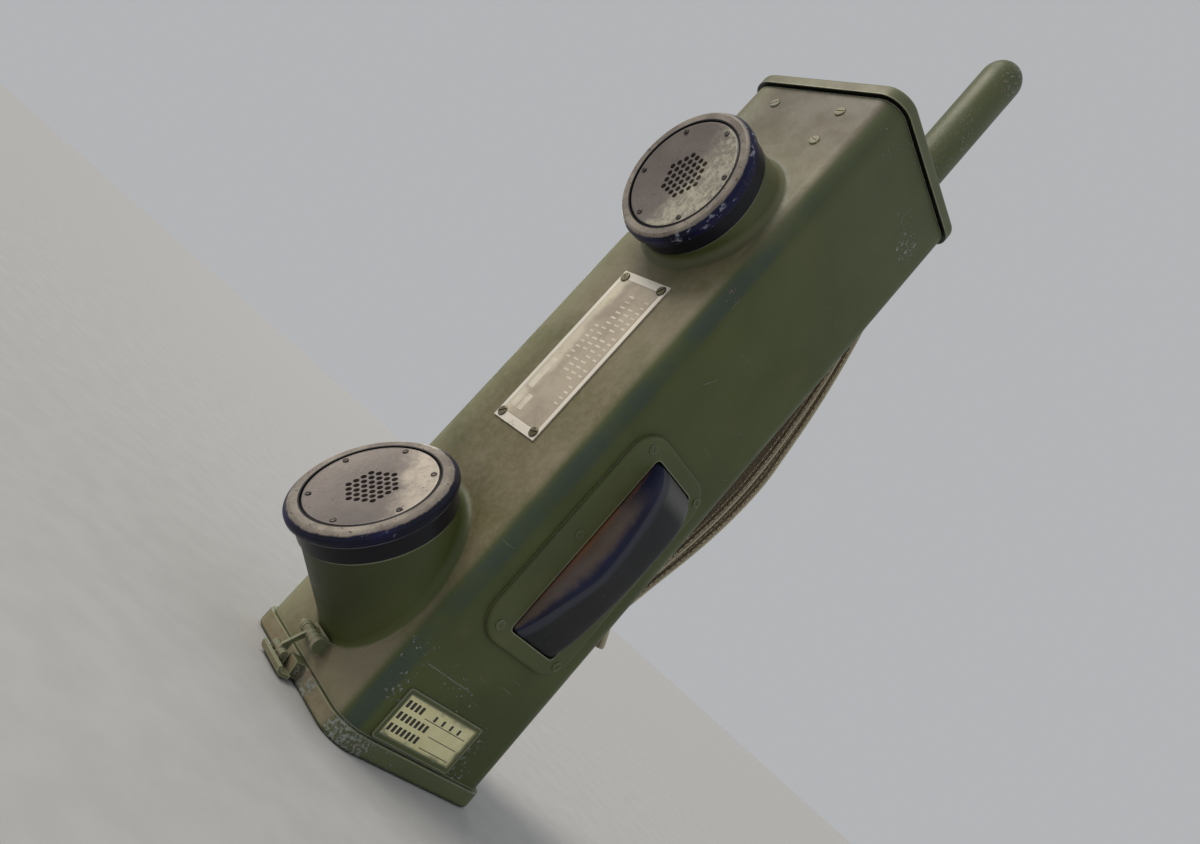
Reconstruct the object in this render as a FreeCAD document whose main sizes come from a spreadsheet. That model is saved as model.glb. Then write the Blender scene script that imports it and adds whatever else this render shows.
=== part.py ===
import FreeCAD, Part
import math
import os
import re
import Sketcher

# Hand-held two-way field radio, in millimetres.
# The origin is the middle of the flat underside of the battery lid. +Z runs up the case to the
# aerial, the earpiece and mouthpiece face -Y, the talk lever is on +X and the hand strap on +Y.

DIMENSIONS = {
    # case
    "case_width": 88.9,
    "case_depth": 88.0,
    "case_length": 338.0,
    "case_bottom": 8.5,
    "case_wall": 2.4,
    "front_radius": 11.0,
    "rear_radius": 9.0,
    "lip": 2.0,
    "cover_height": 6.4,
    "cover_edge_radius": 2.4,
    "gasket_thickness": 0.8,
    "front_screw_z_low": 317.2,
    "front_screw_z_high": 335.8,
    "front_screw_x": 20.0,
    # mouthpiece and earpiece: a frame on each face, +Z out of the face
    "mouth_y": -77.7,
    "mouth_z": 78.7,
    "mouth_tilt": 29.7,
    "ear_y": -70.2,
    "ear_z": 263.0,
    "ear_tilt": -10.6,
    "rim_radius": 31.8,
    "groove_radius": 27.6,
    "ring_radius": 32.4,
    "mouth_flange_radius": 34.6,
    "ear_flange_radius": 33.5,
    "mouth_flange_depth": 4.6,
    "ear_flange_depth": 6.6,
    "ring_depth": 14.5,
    "turret_top_radius": 31.6,
    "mouth_turret_root_radius": 34.0,
    "ear_turret_root_radius": 34.0,
    "turret_reach": 64.0,
    "turret_bore": 27.0,
    "neck_radius": 29.4,
    "face_thickness": 1.6,
    "face_dish": 1.5,
    "face_hole_pitch": 3.47,
    "face_hole_radius": 1.28,
    "mouth_hole_turn": 38.8,
    "ear_hole_turn": 43.5,
    "face_screw_circle": 24.5,
    "mouth_screw_turn": 2.3,
    "ear_screw_turn": 6.0,
    "capsule_radius": 22.0,
    "capsule_depth": 11.0,
    # nameplate on the front, card and its frame on the side
    "plate_width": 32.0,
    "plate_length": 88.6,
    "plate_thickness": 0.8,
    "plate_z": 178.6,
    "plate_screw_inset": 3.2,
    "card_front": -28.3,
    "card_rear": 14.5,
    "card_low": 12.1,
    "card_high": 30.1,
    "card_thickness": 0.3,
    "frame_border": 2.2,
    "frame_thickness": 0.8,
    # talk lever
    "escutcheon_front": -28.0,
    "escutcheon_rear": 29.2,
    "escutcheon_low": 63.7,
    "escutcheon_high": 171.7,
    "escutcheon_thickness": 2.5,
    "escutcheon_radius": 14.0,
    "window_front": -12.9,
    "window_rear": 19.0,
    "window_low": 71.6,
    "window_high": 163.6,
    "boot_clearance": 1.0,
    "boot_base_x": 37.6,
    "boot_height": 14.6,
    "lever_pivot_x": 37.0,
    "lever_pivot_z": 78.0,
    "lever_thickness": 2.0,
    "lever_pin_radius": 1.5,
    "running_gap": 0.06,
    "plunger_z": 140.0,
    "plunger_y": -4.5,
    "plunger_radius": 2.0,
    # battery lid, its hinge and its latch
    "lid_height": 8.2,
    "lid_floor": 3.0,
    "lid_edge_radius": 2.0,
    "hinge_y": 49.0,
    "hinge_z": 8.5,
    "hinge_knuckle_radius": 2.4,
    "hinge_pin_radius": 1.2,
    "latch_y": -47.8,
    "keeper_y": -49.5,
    "latch_z": 17.4,
    "latch_knuckle_radius": 3.8,
    "latch_pin_radius": 1.2,
    "latch_link_thickness": 1.2,
    "latch_eye_y": -53.1,
    "latch_eye_z": 5.6,
    "latch_eye_radius": 2.0,
    "latch_eye_pin_radius": 0.9,
    # aerial
    "aerial_x": 20.0,
    "aerial_y": 22.4,
    "cap_radius": 10.8,
    "cap_top": 448.0,
    "cap_wall": 1.4,
    "aerial_foot": 155.0,
    "section_gap": 0.1,
    "section_step": 1.1,
    "section_radius": 5.6,
    # strap
    "strap_width": 44.0,
    "strap_thickness": 2.0,
    "bracket_width": 54.0,
    "bracket_high_z": 326.0,
    "bracket_low_z": 57.0,
    "rung_radius": 2.0,
    "rung_reach": 8.5,
    # inside
    "web_thickness": 1.2,
    "battery_side": 34.0,
    "battery_length": 284.0,
    "cell_radius": 16.5,
    "cell_length": 133.0,
    "tube_radius": 9.3,
    "tube_height": 44.0,
}

doc = FreeCAD.newDocument("FieldRadio")
sheet = doc.addObject("Spreadsheet::Sheet", "Dims")
for row, (alias, number) in enumerate(DIMENSIONS.items(), 1):
    sheet.set("A%d" % row, alias.replace("_", " "))
    sheet.set("B%d" % row, str(number))
    sheet.setAlias("B%d" % row, alias)
doc.recompute()

nodes = {}


def bound(text):
    """An expression with each sheet alias in it turned into a reference to the sheet."""
    return re.sub(r"[a-z][a-z_]*", lambda w: "Dims." + w.group() if w.group() in DIMENSIONS else w.group(),
                  str(text))


def value(text):
    """The number that an expression of sheet aliases gives."""
    return float(sheet.evalExpression(bound(text)))


def bind(obj, **sizes):
    for size, text in sizes.items():
        obj.setExpression(size, bound(text))
    return obj


def place(obj, x=0, y=0, z=0, axis=None, angle=0):
    """Bind an object's position to the sheet and turn it about an axis by an angle in degrees."""
    turn = FreeCAD.Rotation(FreeCAD.Vector(*axis), value(angle)) if axis else FreeCAD.Rotation()
    obj.Placement = FreeCAD.Placement(FreeCAD.Vector(value(x), value(y), value(z)), turn)
    for letter, text in zip("xyz", (x, y, z)):
        obj.setExpression("Placement.Base." + letter, bound(text))
    return obj


def node(name, obj):
    """Name an object as one finished sub-part."""
    obj.Label = name
    nodes[name] = obj
    return obj


# ---- primitives and booleans

def box(x0, x1, y0, y1, z0, z1):
    """A block between two corners, each number or expression."""
    block = doc.addObject("Part::Box", "block")
    bind(block, Length="(%s) - (%s)" % (x1, x0), Width="(%s) - (%s)" % (y1, y0),
         Height="(%s) - (%s)" % (z1, z0))
    return place(block, x0, y0, z0)


def rod(radius, start, length, along="z"):
    """A round bar from a start point along +X, +Y or +Z."""
    bar = doc.addObject("Part::Cylinder", "rod")
    bind(bar, Radius=radius, Height=length)
    turn = {"x": ((0, 1, 0), 90), "y": ((1, 0, 0), -90), "z": (None, 0)}[along]
    return place(bar, *start, axis=turn[0], angle=turn[1])


def fuse(*pieces):
    joined = doc.addObject("Part::MultiFuse", "joined")
    joined.Shapes = list(pieces)
    joined.Refine = True
    return joined


def cut(base, *tools):
    result = doc.addObject("Part::Cut", "cut")
    result.Base = base
    result.Tool = tools[0] if len(tools) == 1 else fuse(*tools)
    result.Refine = True
    return result


def common(first, second):
    result = doc.addObject("Part::MultiCommon", "common")
    result.Shapes = [first, second]
    return result


def tube(outer, inner, start, length, along="z"):
    """A round tube, the bore right through."""
    return cut(rod(outer, start, length, along), rod(inner, start, length, along))


# ---- bodies made from sketches

def sketch(body, plane):
    drawing = body.newObject("Sketcher::SketchObject", "outline")
    support = next(p for p in body.Origin.OriginFeatures if p.Role == plane)
    drawing.AttachmentSupport = [(support, "")]
    drawing.MapMode = "FlatFace"
    return drawing


def draw_polygon(drawing, points):
    """A closed outline whose corners are bound to expressions."""
    corners = [(value(u), value(v)) for u, v in points]
    count = len(corners)
    for i, corner in enumerate(corners):
        after = corners[(i + 1) % count]
        drawing.addGeometry(Part.LineSegment(FreeCAD.Vector(*corner, 0), FreeCAD.Vector(*after, 0)))
    for i in range(count):
        drawing.addConstraint(Sketcher.Constraint("Coincident", i, 2, (i + 1) % count, 1))
    for i, point in enumerate(points):
        for kind, text, number in zip(("DistanceX", "DistanceY"), point, corners[i]):
            row = drawing.addConstraint(Sketcher.Constraint(kind, -1, 1, i, 1, number))
            if isinstance(text, str):
                drawing.setExpression("Constraints[%d]" % row, bound(text))


def extruded(plane, points, length, x=0, y=0, z=0):
    """A polygon on an origin plane, padded along its normal: XY to +Z, YZ to +X, XZ to -Y."""
    body = doc.addObject("PartDesign::Body", "body")
    drawing = sketch(body, plane)
    draw_polygon(drawing, points)
    pad = body.newObject("PartDesign::Pad", "pad")
    pad.Profile = drawing
    bind(pad, Length=length)
    return place(body, x, y, z)


def revolved(points):
    """A body turned about its own Z axis from (radius, height) corners."""
    body = doc.addObject("PartDesign::Body", "turned")
    drawing = sketch(body, "XZ_Plane")
    draw_polygon(drawing, points)
    turned = body.newObject("PartDesign::Revolution", "turned")
    turned.Profile = drawing
    turned.ReferenceAxis = (drawing, ["V_Axis"])
    turned.Angle = 360
    return body


def round_edges(body, radius, wanted):
    """Fillet the edges of a body's last feature that a test picks out by their bounding boxes."""
    doc.recompute()
    base = body.Tip
    names = ["Edge%d" % i for i, edge in enumerate(base.Shape.Edges, 1) if wanted(edge.BoundBox)]
    fillet = body.newObject("PartDesign::Fillet", "fillet")
    fillet.Base = (base, names)
    bind(fillet, Radius=radius)
    body.Tip = fillet
    return body


def is_upright(side):
    """Vertical edges on the -Y side (-1) or the +Y side (1)."""
    return lambda b: b.XLength + b.YLength < 1e-6 and b.ZLength > 0.1 and b.Center.y * side > 0


def rounded_block(width, depth, z, height, front, rear):
    """A block centred on the Z axis with round upright corners."""
    x, y = "(%s) / 2" % width, "(%s) / 2" % depth
    outline = [("-" + x, "-" + y), (x, "-" + y), (x, y), ("-" + x, y)]
    body = extruded("XY_Plane", outline, height, z=z)
    round_edges(body, front, is_upright(-1))
    return round_edges(body, rear, is_upright(1))


def at_height(height):
    return lambda b: b.ZLength < 1e-6 and abs(b.ZMin - value(height)) < 1e-6


def rounded_plate(u0, u1, v0, v1, thickness, radius, x):
    """A plate on the +X side between Y u0..u1 and Z v0..v1, its corners round."""
    body = extruded("YZ_Plane", [(u0, v0), (u1, v0), (u1, v1), (u0, v1)], thickness, x=x)
    return round_edges(body, radius, lambda b: b.YLength + b.ZLength < 1e-6 and b.XLength > 0.1)


def on_face(body, which):
    """Place a body made about its own Z axis so that the axis runs out of a cap's face."""
    return bind(place(body, 0, which + "_y", which + "_z", (1, 0, 0), "90 - %s_tilt" % which),
                **{"Placement.Rotation.Angle": "90 - %s_tilt" % which})


# ---- fasteners

def screw_shape(head_radius, head_height, shank_radius, shank_length):
    """A round-headed slotted screw, its head on +Z above the origin and its shank below."""
    head = Part.makeCylinder(head_radius, head_height)
    crown = [e for e in head.Edges if abs(e.BoundBox.ZMin - head_height) < 1e-6]
    head = head.makeFillet(head_height * 0.6, crown)
    shank = Part.makeCylinder(shank_radius, shank_length, FreeCAD.Vector(0, 0, -shank_length))
    slot_width = head_radius * 0.28
    slot = Part.makeBox(head_radius * 3, slot_width, head_height,
                        FreeCAD.Vector(-head_radius * 1.5, -slot_width / 2, head_height * 0.5))
    return head.fuse(shank).removeSplitter().cut(slot)


def screws(name, shape, places):
    """Identical screws as separate solids in one node: (position, outward direction, slot angle)."""
    copies = []
    for position, outward, slot_angle in places:
        turn = FreeCAD.Rotation(FreeCAD.Vector(0, 0, 1), FreeCAD.Vector(*outward))
        spin = FreeCAD.Rotation(FreeCAD.Vector(0, 0, 1), slot_angle)
        copies.append(shape.transformed(FreeCAD.Placement(FreeCAD.Vector(*position), turn * spin).toMatrix()))
    group = doc.addObject("Part::Feature", "screws")
    group.Shape = Part.makeCompound(copies)
    return node(name, group)


# ---- the case, its top cover and the screws that hold it

def turret(which):
    """The cast stub under a cap: a slightly conical boss with a neck for the ring to sit on."""
    foot = "-turret_reach"
    shoulder = "-ring_depth - 0.3"
    return on_face(revolved([(0, foot), (which + "_turret_root_radius", foot),
                             ("turret_top_radius", shoulder),
                             ("neck_radius", shoulder), ("neck_radius", "-ring_depth + 2.6"),
                             (0, "-ring_depth + 2.6")]), which)


def turret_bore(which):
    return on_face(revolved([(0, "-turret_reach - 6"), ("turret_bore", "-turret_reach - 6"),
                             ("turret_bore", -5),
                             (0, -5)]), which)


def front_screw_places():
    for x, z in (("-front_screw_x", "front_screw_z_low - 3.5"), ("-front_screw_x", "front_screw_z_high"),
                 ("front_screw_x", "front_screw_z_low"), ("front_screw_x", "front_screw_z_high")):
        yield value(x), value(z)


def nameplate_screw_places():
    across = value("plate_width / 2 - plate_screw_inset")
    up = value("plate_length / 2 - plate_screw_inset")
    return [(sx * across, value("plate_z") + sz * up) for sx in (-1, 1) for sz in (-1, 1)]


def escutcheon_screw_places():
    """Six screws round the talk-lever plate, in its front and rear margins."""
    front, rear = value("window_front - 6.2"), value("window_rear + 4.8")
    low, middle, high = value("window_low - 0.5"), value("plunger_z - 22"), value("window_high + 0.8")
    return [(y, z) for y in (front, rear) for z in (low, middle, high)]


def make_case():
    outer = rounded_block("case_width", "case_depth", "case_bottom", "case_length", "front_radius",
                          "rear_radius")
    body = fuse(outer, turret("mouth"), turret("ear"))
    doc.recompute()
    front = -value("case_depth") / 2
    blended = doc.addObject("Part::Fillet", "blended")
    blended.Base = body
    blended.Edges = [(i, 4.0, 4.0) for i, edge in enumerate(body.Shape.Edges, 1)
                     if edge.BoundBox.YLength < 1e-3 and abs(edge.BoundBox.YMin - front) < 1e-3
                     and edge.BoundBox.XLength > 50 and edge.BoundBox.ZLength > 50]
    inner = rounded_block("case_width - 2 * case_wall", "case_depth - 2 * case_wall", "case_bottom - 1",
                          "case_length + 2", "front_radius - case_wall", "rear_radius - case_wall")
    window = box("case_width / 2 - 6", "case_width / 2 + 6", "window_front", "window_rear", "window_low",
                 "window_high")
    tools = [inner, turret_bore("mouth"), turret_bore("ear"), window]
    for x, z in front_screw_places():
        tools.append(rod(1.7, (x, "-case_depth / 2 - 1", z), "case_wall + 2", "y"))
    for x, z in nameplate_screw_places():
        tools.append(rod(1.0, (x, "-case_depth / 2 - 1", z), 2.8, "y"))
    for y, z in escutcheon_screw_places():
        tools.append(rod(1.5, ("case_width / 2 - case_wall - 1", y, z), "case_wall + 2", "x"))
    for z in ("bracket_high_z", "bracket_low_z"):
        for x in (-18, 18):
            tools.append(rod(1.6, (x, "case_depth / 2 - case_wall - 1", z), "case_wall + 2", "y"))
    node("case_shell", cut(blended, *tools))
    return blended


def make_top():
    seam = "case_bottom + case_length"
    cover_foot = seam + " + gasket_thickness"
    gasket_outer = rounded_block("case_width - 1.2", "case_depth - 1.2", seam, "gasket_thickness",
                                 "front_radius - 0.6", "rear_radius - 0.6")
    gasket_inner = rounded_block("case_width - 2 * case_wall", "case_depth - 2 * case_wall", seam + " - 1",
                                 "gasket_thickness + 2", "front_radius - case_wall",
                                 "rear_radius - case_wall")
    node("top_gasket", cut(gasket_outer, gasket_inner))
    lid = rounded_block("case_width + 2 * lip", "case_depth + 2 * lip", cover_foot, "cover_height",
                        "front_radius + lip", "rear_radius + lip")
    round_edges(lid, "cover_edge_radius", at_height("cover_height"))
    hollow = rounded_block("case_width - 2 * case_wall - 4", "case_depth - 2 * case_wall - 4",
                           cover_foot + " - 1",
                           "cover_height - 2", "front_radius - case_wall", "rear_radius - case_wall")
    front_tongue = box(-30, 30, "-case_depth / 2 + case_wall", "-case_depth / 2 + case_wall + 2.4",
                       "front_screw_z_low - 7", cover_foot + " + 1")
    rear_tongue = box(-30, 30, "case_depth / 2 - case_wall - 2.4", "case_depth / 2 - case_wall",
                      seam + " - 12", cover_foot + " + 1")
    tools = [rod("section_radius + 3.4", ("aerial_x", "aerial_y", cover_foot + " - 3"), "cover_height + 6")]
    for x, z in front_screw_places():
        tools.append(rod(1.5, (x, "-case_depth / 2", z), "case_wall + 4", "y"))
    node("top_cover", cut(fuse(cut(lid, hollow), front_tongue, rear_tongue), *tools))
    y = -value("case_depth") / 2
    angles = (12, 38, -20, 5)
    screws("cover_screws", screw_shape(2.5, 0.7, 1.4, 6.5),
           [((x, y, z), (0, -1, 0), angle) for (x, z), angle in zip(front_screw_places(), angles)])


# ---- mouthpiece and earpiece

def hole_pattern(which):
    """Thirty-seven holes, in rows of 4, 5, 6, 7, 6, 5 and 4, turned about the middle of the disc."""
    pitch = value("face_hole_pitch")
    turn = math.radians(value(which + "_hole_turn"))
    for row in range(-3, 4):
        count = 7 - abs(row)
        for k in range(count):
            x, y = (k - (count - 1) / 2) * pitch, row * pitch * math.sqrt(3) / 2
            yield x * math.cos(turn) - y * math.sin(turn), x * math.sin(turn) + y * math.cos(turn)


def face_plate(which):
    """The dished disc with its field of holes and six screw holes."""
    body = revolved([(0, "-face_thickness - face_dish - 0.3"),
                     ("groove_radius - 0.3", "-face_thickness - face_dish - 0.3"),
                     ("groove_radius - 0.3", -0.6), ("groove_radius - 0.9", -0.3), (0, -0.3)])
    dish = doc.addObject("Part::Sphere", "dish")
    bowl_radius = "((groove_radius - 1.6) ^ 2 + face_dish ^ 2) / (2 * face_dish)"
    bind(dish, Radius=bowl_radius)
    place(dish, 0, 0, bowl_radius + " - face_dish - 0.3")
    punches = [rod("face_hole_radius", (x, y, -8), 10) for x, y in hole_pattern(which)]
    punches += [rod(0.9, (*face_screw_place(which, k), -8), 10) for k in range(6)]
    punches += [rod(1.35, (*face_screw_place(which, k), -0.46), 2) for k in range(6)]
    return on_face(cut(cut(body, dish), *punches), which)


def face_screw_place(which, k):
    radius = value("face_screw_circle")
    angle = math.radians(60 * k + value(which + "_screw_turn"))
    return radius * math.cos(angle), radius * math.sin(angle)


def make_cap(which, capsule_name):
    flange = which + "_flange_radius"
    depth = which + "_flange_depth"
    ledge = "-face_thickness - face_dish - 0.3"
    ring = revolved([("groove_radius", -0.1), ("rim_radius - 0.8", 0), ("rim_radius", -0.4),
                     (flange + " - 0.4", -2.2),
                     (flange, -2.9), (flange, "-%s + 0.5" % depth), (flange + " - 0.6", "-" + depth),
                     ("ring_radius", "-%s - 0.3" % depth), ("ring_radius", "-ring_depth + 0.4"),
                     ("ring_radius - 0.4", "-ring_depth"), ("neck_radius + 0.25", "-ring_depth"),
                     ("neck_radius + 0.25", "-ring_depth + 3.6"), ("groove_radius - 3", "-ring_depth + 3.6"),
                     ("groove_radius - 3", "-ring_depth + 4.6"),
                     ("capsule_radius + 0.4", "-ring_depth + 4.6"),
                     ("capsule_radius + 0.4", ledge), ("groove_radius", ledge)])
    threads = [rod(0.85, (*face_screw_place(which, k), -6), 4) for k in range(6)]
    node(which + "_ring", on_face(cut(ring, *threads), which))
    node(which + "_face", face_plate(which))
    gasket = revolved([("turret_bore + 0.2", "-ring_depth + 2.6"), ("neck_radius - 0.2", "-ring_depth + 2.6"),
                       ("neck_radius - 0.2", "-ring_depth + 3.6"),
                       ("turret_bore + 0.2", "-ring_depth + 3.6")])
    node(which + "_gasket", on_face(gasket, which))
    capsule = revolved([(0, "-5 - capsule_depth"), ("capsule_radius - 6", "-5 - capsule_depth"),
                        ("capsule_radius - 6", "-ring_depth + 2"), ("capsule_radius", "-ring_depth + 3.6"),
                        ("capsule_radius", -5), (0, -5)])
    node(capsule_name, on_face(capsule, which))
    outward = (0, -math.cos(math.radians(value(which + "_tilt"))),
               math.sin(math.radians(value(which + "_tilt"))))
    spots = []
    centre = FreeCAD.Vector(0, value(which + "_y"), value(which + "_z"))
    for k in range(6):
        x, y = face_screw_place(which, k)
        across = FreeCAD.Vector(0, outward[2], -outward[1])
        spot = centre + FreeCAD.Vector(x, 0, 0) + across * y - FreeCAD.Vector(*outward) * 0.45
        spots.append((tuple(spot), outward, 25 + 47 * k))
    screws(which + "_face_screws", screw_shape(1.25, 0.5, 0.85, 5.0), spots)


# ---- nameplate, card and card frame

def make_labels():
    front = "-case_depth / 2"
    half_width, half_length = "plate_width / 2", "plate_length / 2"
    blank = box("-" + half_width, half_width, front + " - plate_thickness", front, "plate_z - " + half_length,
                "plate_z + " + half_length)
    holes = [rod(1.1, (x, front + " - 2", z), 4, "y") for x, z in nameplate_screw_places()]
    node("nameplate", cut(blank, *holes))
    depth = value(front + " - plate_thickness")
    screws("nameplate_screws", screw_shape(2.4, 0.7, 1.0, 2.6),
           [((x, depth, z), (0, -1, 0), angle)
            for (x, z), angle in zip(nameplate_screw_places(), (40, -35, 15, 60))])
    side = "case_width / 2"
    outer = rounded_plate("card_front - frame_border", "card_rear + frame_border",
                          "card_low - frame_border - 0.4",
                          "card_high + frame_border", "frame_thickness", 1.0, side)
    inside = box(side + " - 1", side + " + 3", "card_front + 0.1", "card_rear - 0.1", "card_low + 0.1",
                 "card_high - 0.1")
    pocket = box(side + " - 1", side + " + card_thickness", "card_front - 0.2", "card_rear + 0.2",
                 "card_low - 0.2",
                 "card_high + 0.2")
    node("card_frame", cut(outer, inside, pocket))
    node("card", box(side, side + " + card_thickness", "card_front", "card_rear", "card_low", "card_high"))


# ---- talk lever

def make_talk_lever():
    side = "case_width / 2"
    plate = rounded_plate("escutcheon_front", "escutcheon_rear", "escutcheon_low", "escutcheon_high",
                          "escutcheon_thickness", "escutcheon_radius", side)
    round_edges(plate, 1.6, lambda b: b.XLength < 1e-6 and abs(b.XMin - value("escutcheon_thickness")) < 1e-6)
    opening = rounded_plate("window_front", "window_rear", "window_low", "window_high", 8, 2.5, side + " - 1")
    holes = [rod(1.5, (side + " - 1", y, z), "escutcheon_thickness + 2", "x")
             for y, z in escutcheon_screw_places()]
    node("talk_plate", cut(plate, opening, *holes))
    x = value(side + " + escutcheon_thickness")
    angles = (20, 75, 50, -30, 10, 65)
    screws("talk_plate_screws", screw_shape(2.3, 0.5, 1.4, 6.2),
           [((x, y, z), (1, 0, 0), angle) for (y, z), angle in zip(escutcheon_screw_places(), angles)])

    wall = side + " - case_wall"
    pin_y0, pin_length = "window_front - 2.2", "window_rear - window_front + 4.4"
    frame = box(wall + " - 1.5", wall, "window_front - 9", "window_rear + 8", "window_low - 6",
                "window_high + 6")
    gap = box(wall + " - 3", wall + " + 1", "window_front", "window_rear", "window_low", "window_high")
    ears = [box("lever_pivot_x - 4", wall + " - 1", y0, y1, "lever_pivot_z - 5", "lever_pivot_z + 5")
            for y0, y1 in (("window_front - 2.2", "window_front - 0.2"),
                           ("window_rear + 0.2", "window_rear + 2.2"))]
    bore = rod("lever_pin_radius", ("lever_pivot_x", "window_front - 4", "lever_pivot_z"),
               "window_rear - window_front + 8", "y")
    tapped = [rod(1.4, (wall + " - 3", y, z), 5, "x") for y, z in escutcheon_screw_places()]
    node("talk_bracket", cut(fuse(cut(frame, gap), *ears), bore, *tapped))
    node("talk_pivot_pin", rod("lever_pin_radius", ("lever_pivot_x", pin_y0, "lever_pivot_z"), pin_length,
                               "y"))

    arm_front, arm_rear = "window_front + boot_clearance", "window_rear - boot_clearance"
    arm = box("boot_base_x - lever_thickness", "boot_base_x", arm_front, arm_rear, "lever_pivot_z - 3.4",
              "window_high - 3")
    boss = rod("lever_pin_radius + 2", ("lever_pivot_x", arm_front, "lever_pivot_z"),
               "window_rear - window_front - 2 * boot_clearance", "y")
    boss_flat = box("boot_base_x - 9", "boot_base_x", arm_front, arm_rear, "lever_pivot_z - 6",
                    "lever_pivot_z + 6")
    pin_hole = rod("lever_pin_radius + running_gap", ("lever_pivot_x", "window_front - 4", "lever_pivot_z"),
                   "window_rear - window_front + 8", "y")
    node("talk_lever", cut(fuse(arm, common(boss, boss_flat)), pin_hole))

    low, high = "window_low + boot_clearance", "window_high - boot_clearance - 0.4"
    rise = side + " + boot_height"
    profile = [("boot_base_x", low), (side + " + 3.0", low), (side + " + 6.4", low + " + 12"),
               (side + " + 10.4", low + " + 31"), (side + " + 13.2", low + " + 50"), (rise, low + " + 64"),
               (rise + " - 0.2", low + " + 71"), (rise + " - 2.2", low + " + 78"),
               (rise + " - 6.6", low + " + 84"),
               (side + " + 3.0", high), ("boot_base_x", high)]
    pad = extruded("XZ_Plane", profile, "window_rear - window_front - 2 * boot_clearance", y=arm_rear)
    face, far = side + " + escutcheon_thickness", side + " + 20"
    front_slope = extruded("XY_Plane", [(face, arm_front), (side, arm_front + " - 1"),
                                        (far, arm_front + " - 1"),
                                        (far, arm_front + " + 5.3")], 200)
    rear_slope = extruded("XY_Plane", [(face, arm_rear), (far, arm_rear + " - 1.5"), (far, arm_rear + " + 1"),
                                       (side, arm_rear + " + 1")], 200)
    pin_relief = rod("lever_pin_radius + 2.3", ("lever_pivot_x", "window_front - 4", "lever_pivot_z"),
                     "window_rear - window_front + 8", "y")
    node("talk_boot", cut(pad, front_slope, rear_slope, pin_relief))

    block = box(12, 27, -10, 0.9, "plunger_z - 12", "plunger_z + 10")
    hole = rod("plunger_radius + running_gap", (15, "plunger_y", "plunger_z"), 20, "x")
    node("talk_switch", cut(block, hole))
    node("talk_plunger", rod("plunger_radius", (21.5, "plunger_y", "plunger_z"),
                             "boot_base_x - lever_thickness - 21.5 - 0.3", "x"))
    coil_radius, wire_radius, turns = 3.4, 0.3, 5
    length = value("boot_base_x - lever_thickness") - 27 - 2 * wire_radius - 1.4
    helix = Part.makeHelix(length / turns, length, coil_radius)
    start = FreeCAD.Vector(coil_radius, 0, 0)
    section = Part.Wire(Part.makeCircle(wire_radius, start, FreeCAD.Vector(0, 1, 0)))
    coil = doc.addObject("Part::Feature", "coil")
    coil.Shape = Part.Wire(helix).makePipeShell([section], True, True)
    spot = FreeCAD.Vector(27 + wire_radius + 0.7, value("plunger_y"), value("plunger_z"))
    coil.Placement = FreeCAD.Placement(spot, FreeCAD.Rotation(FreeCAD.Vector(0, 1, 0), 90))
    node("talk_spring", coil)


# ---- battery lid, hinge and latch

LID_KNUCKLES = ((-30, -18), (-6, 6), (18, 30))
CASE_KNUCKLES = ((-17.7, -6.3), (6.3, 17.7))


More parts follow.
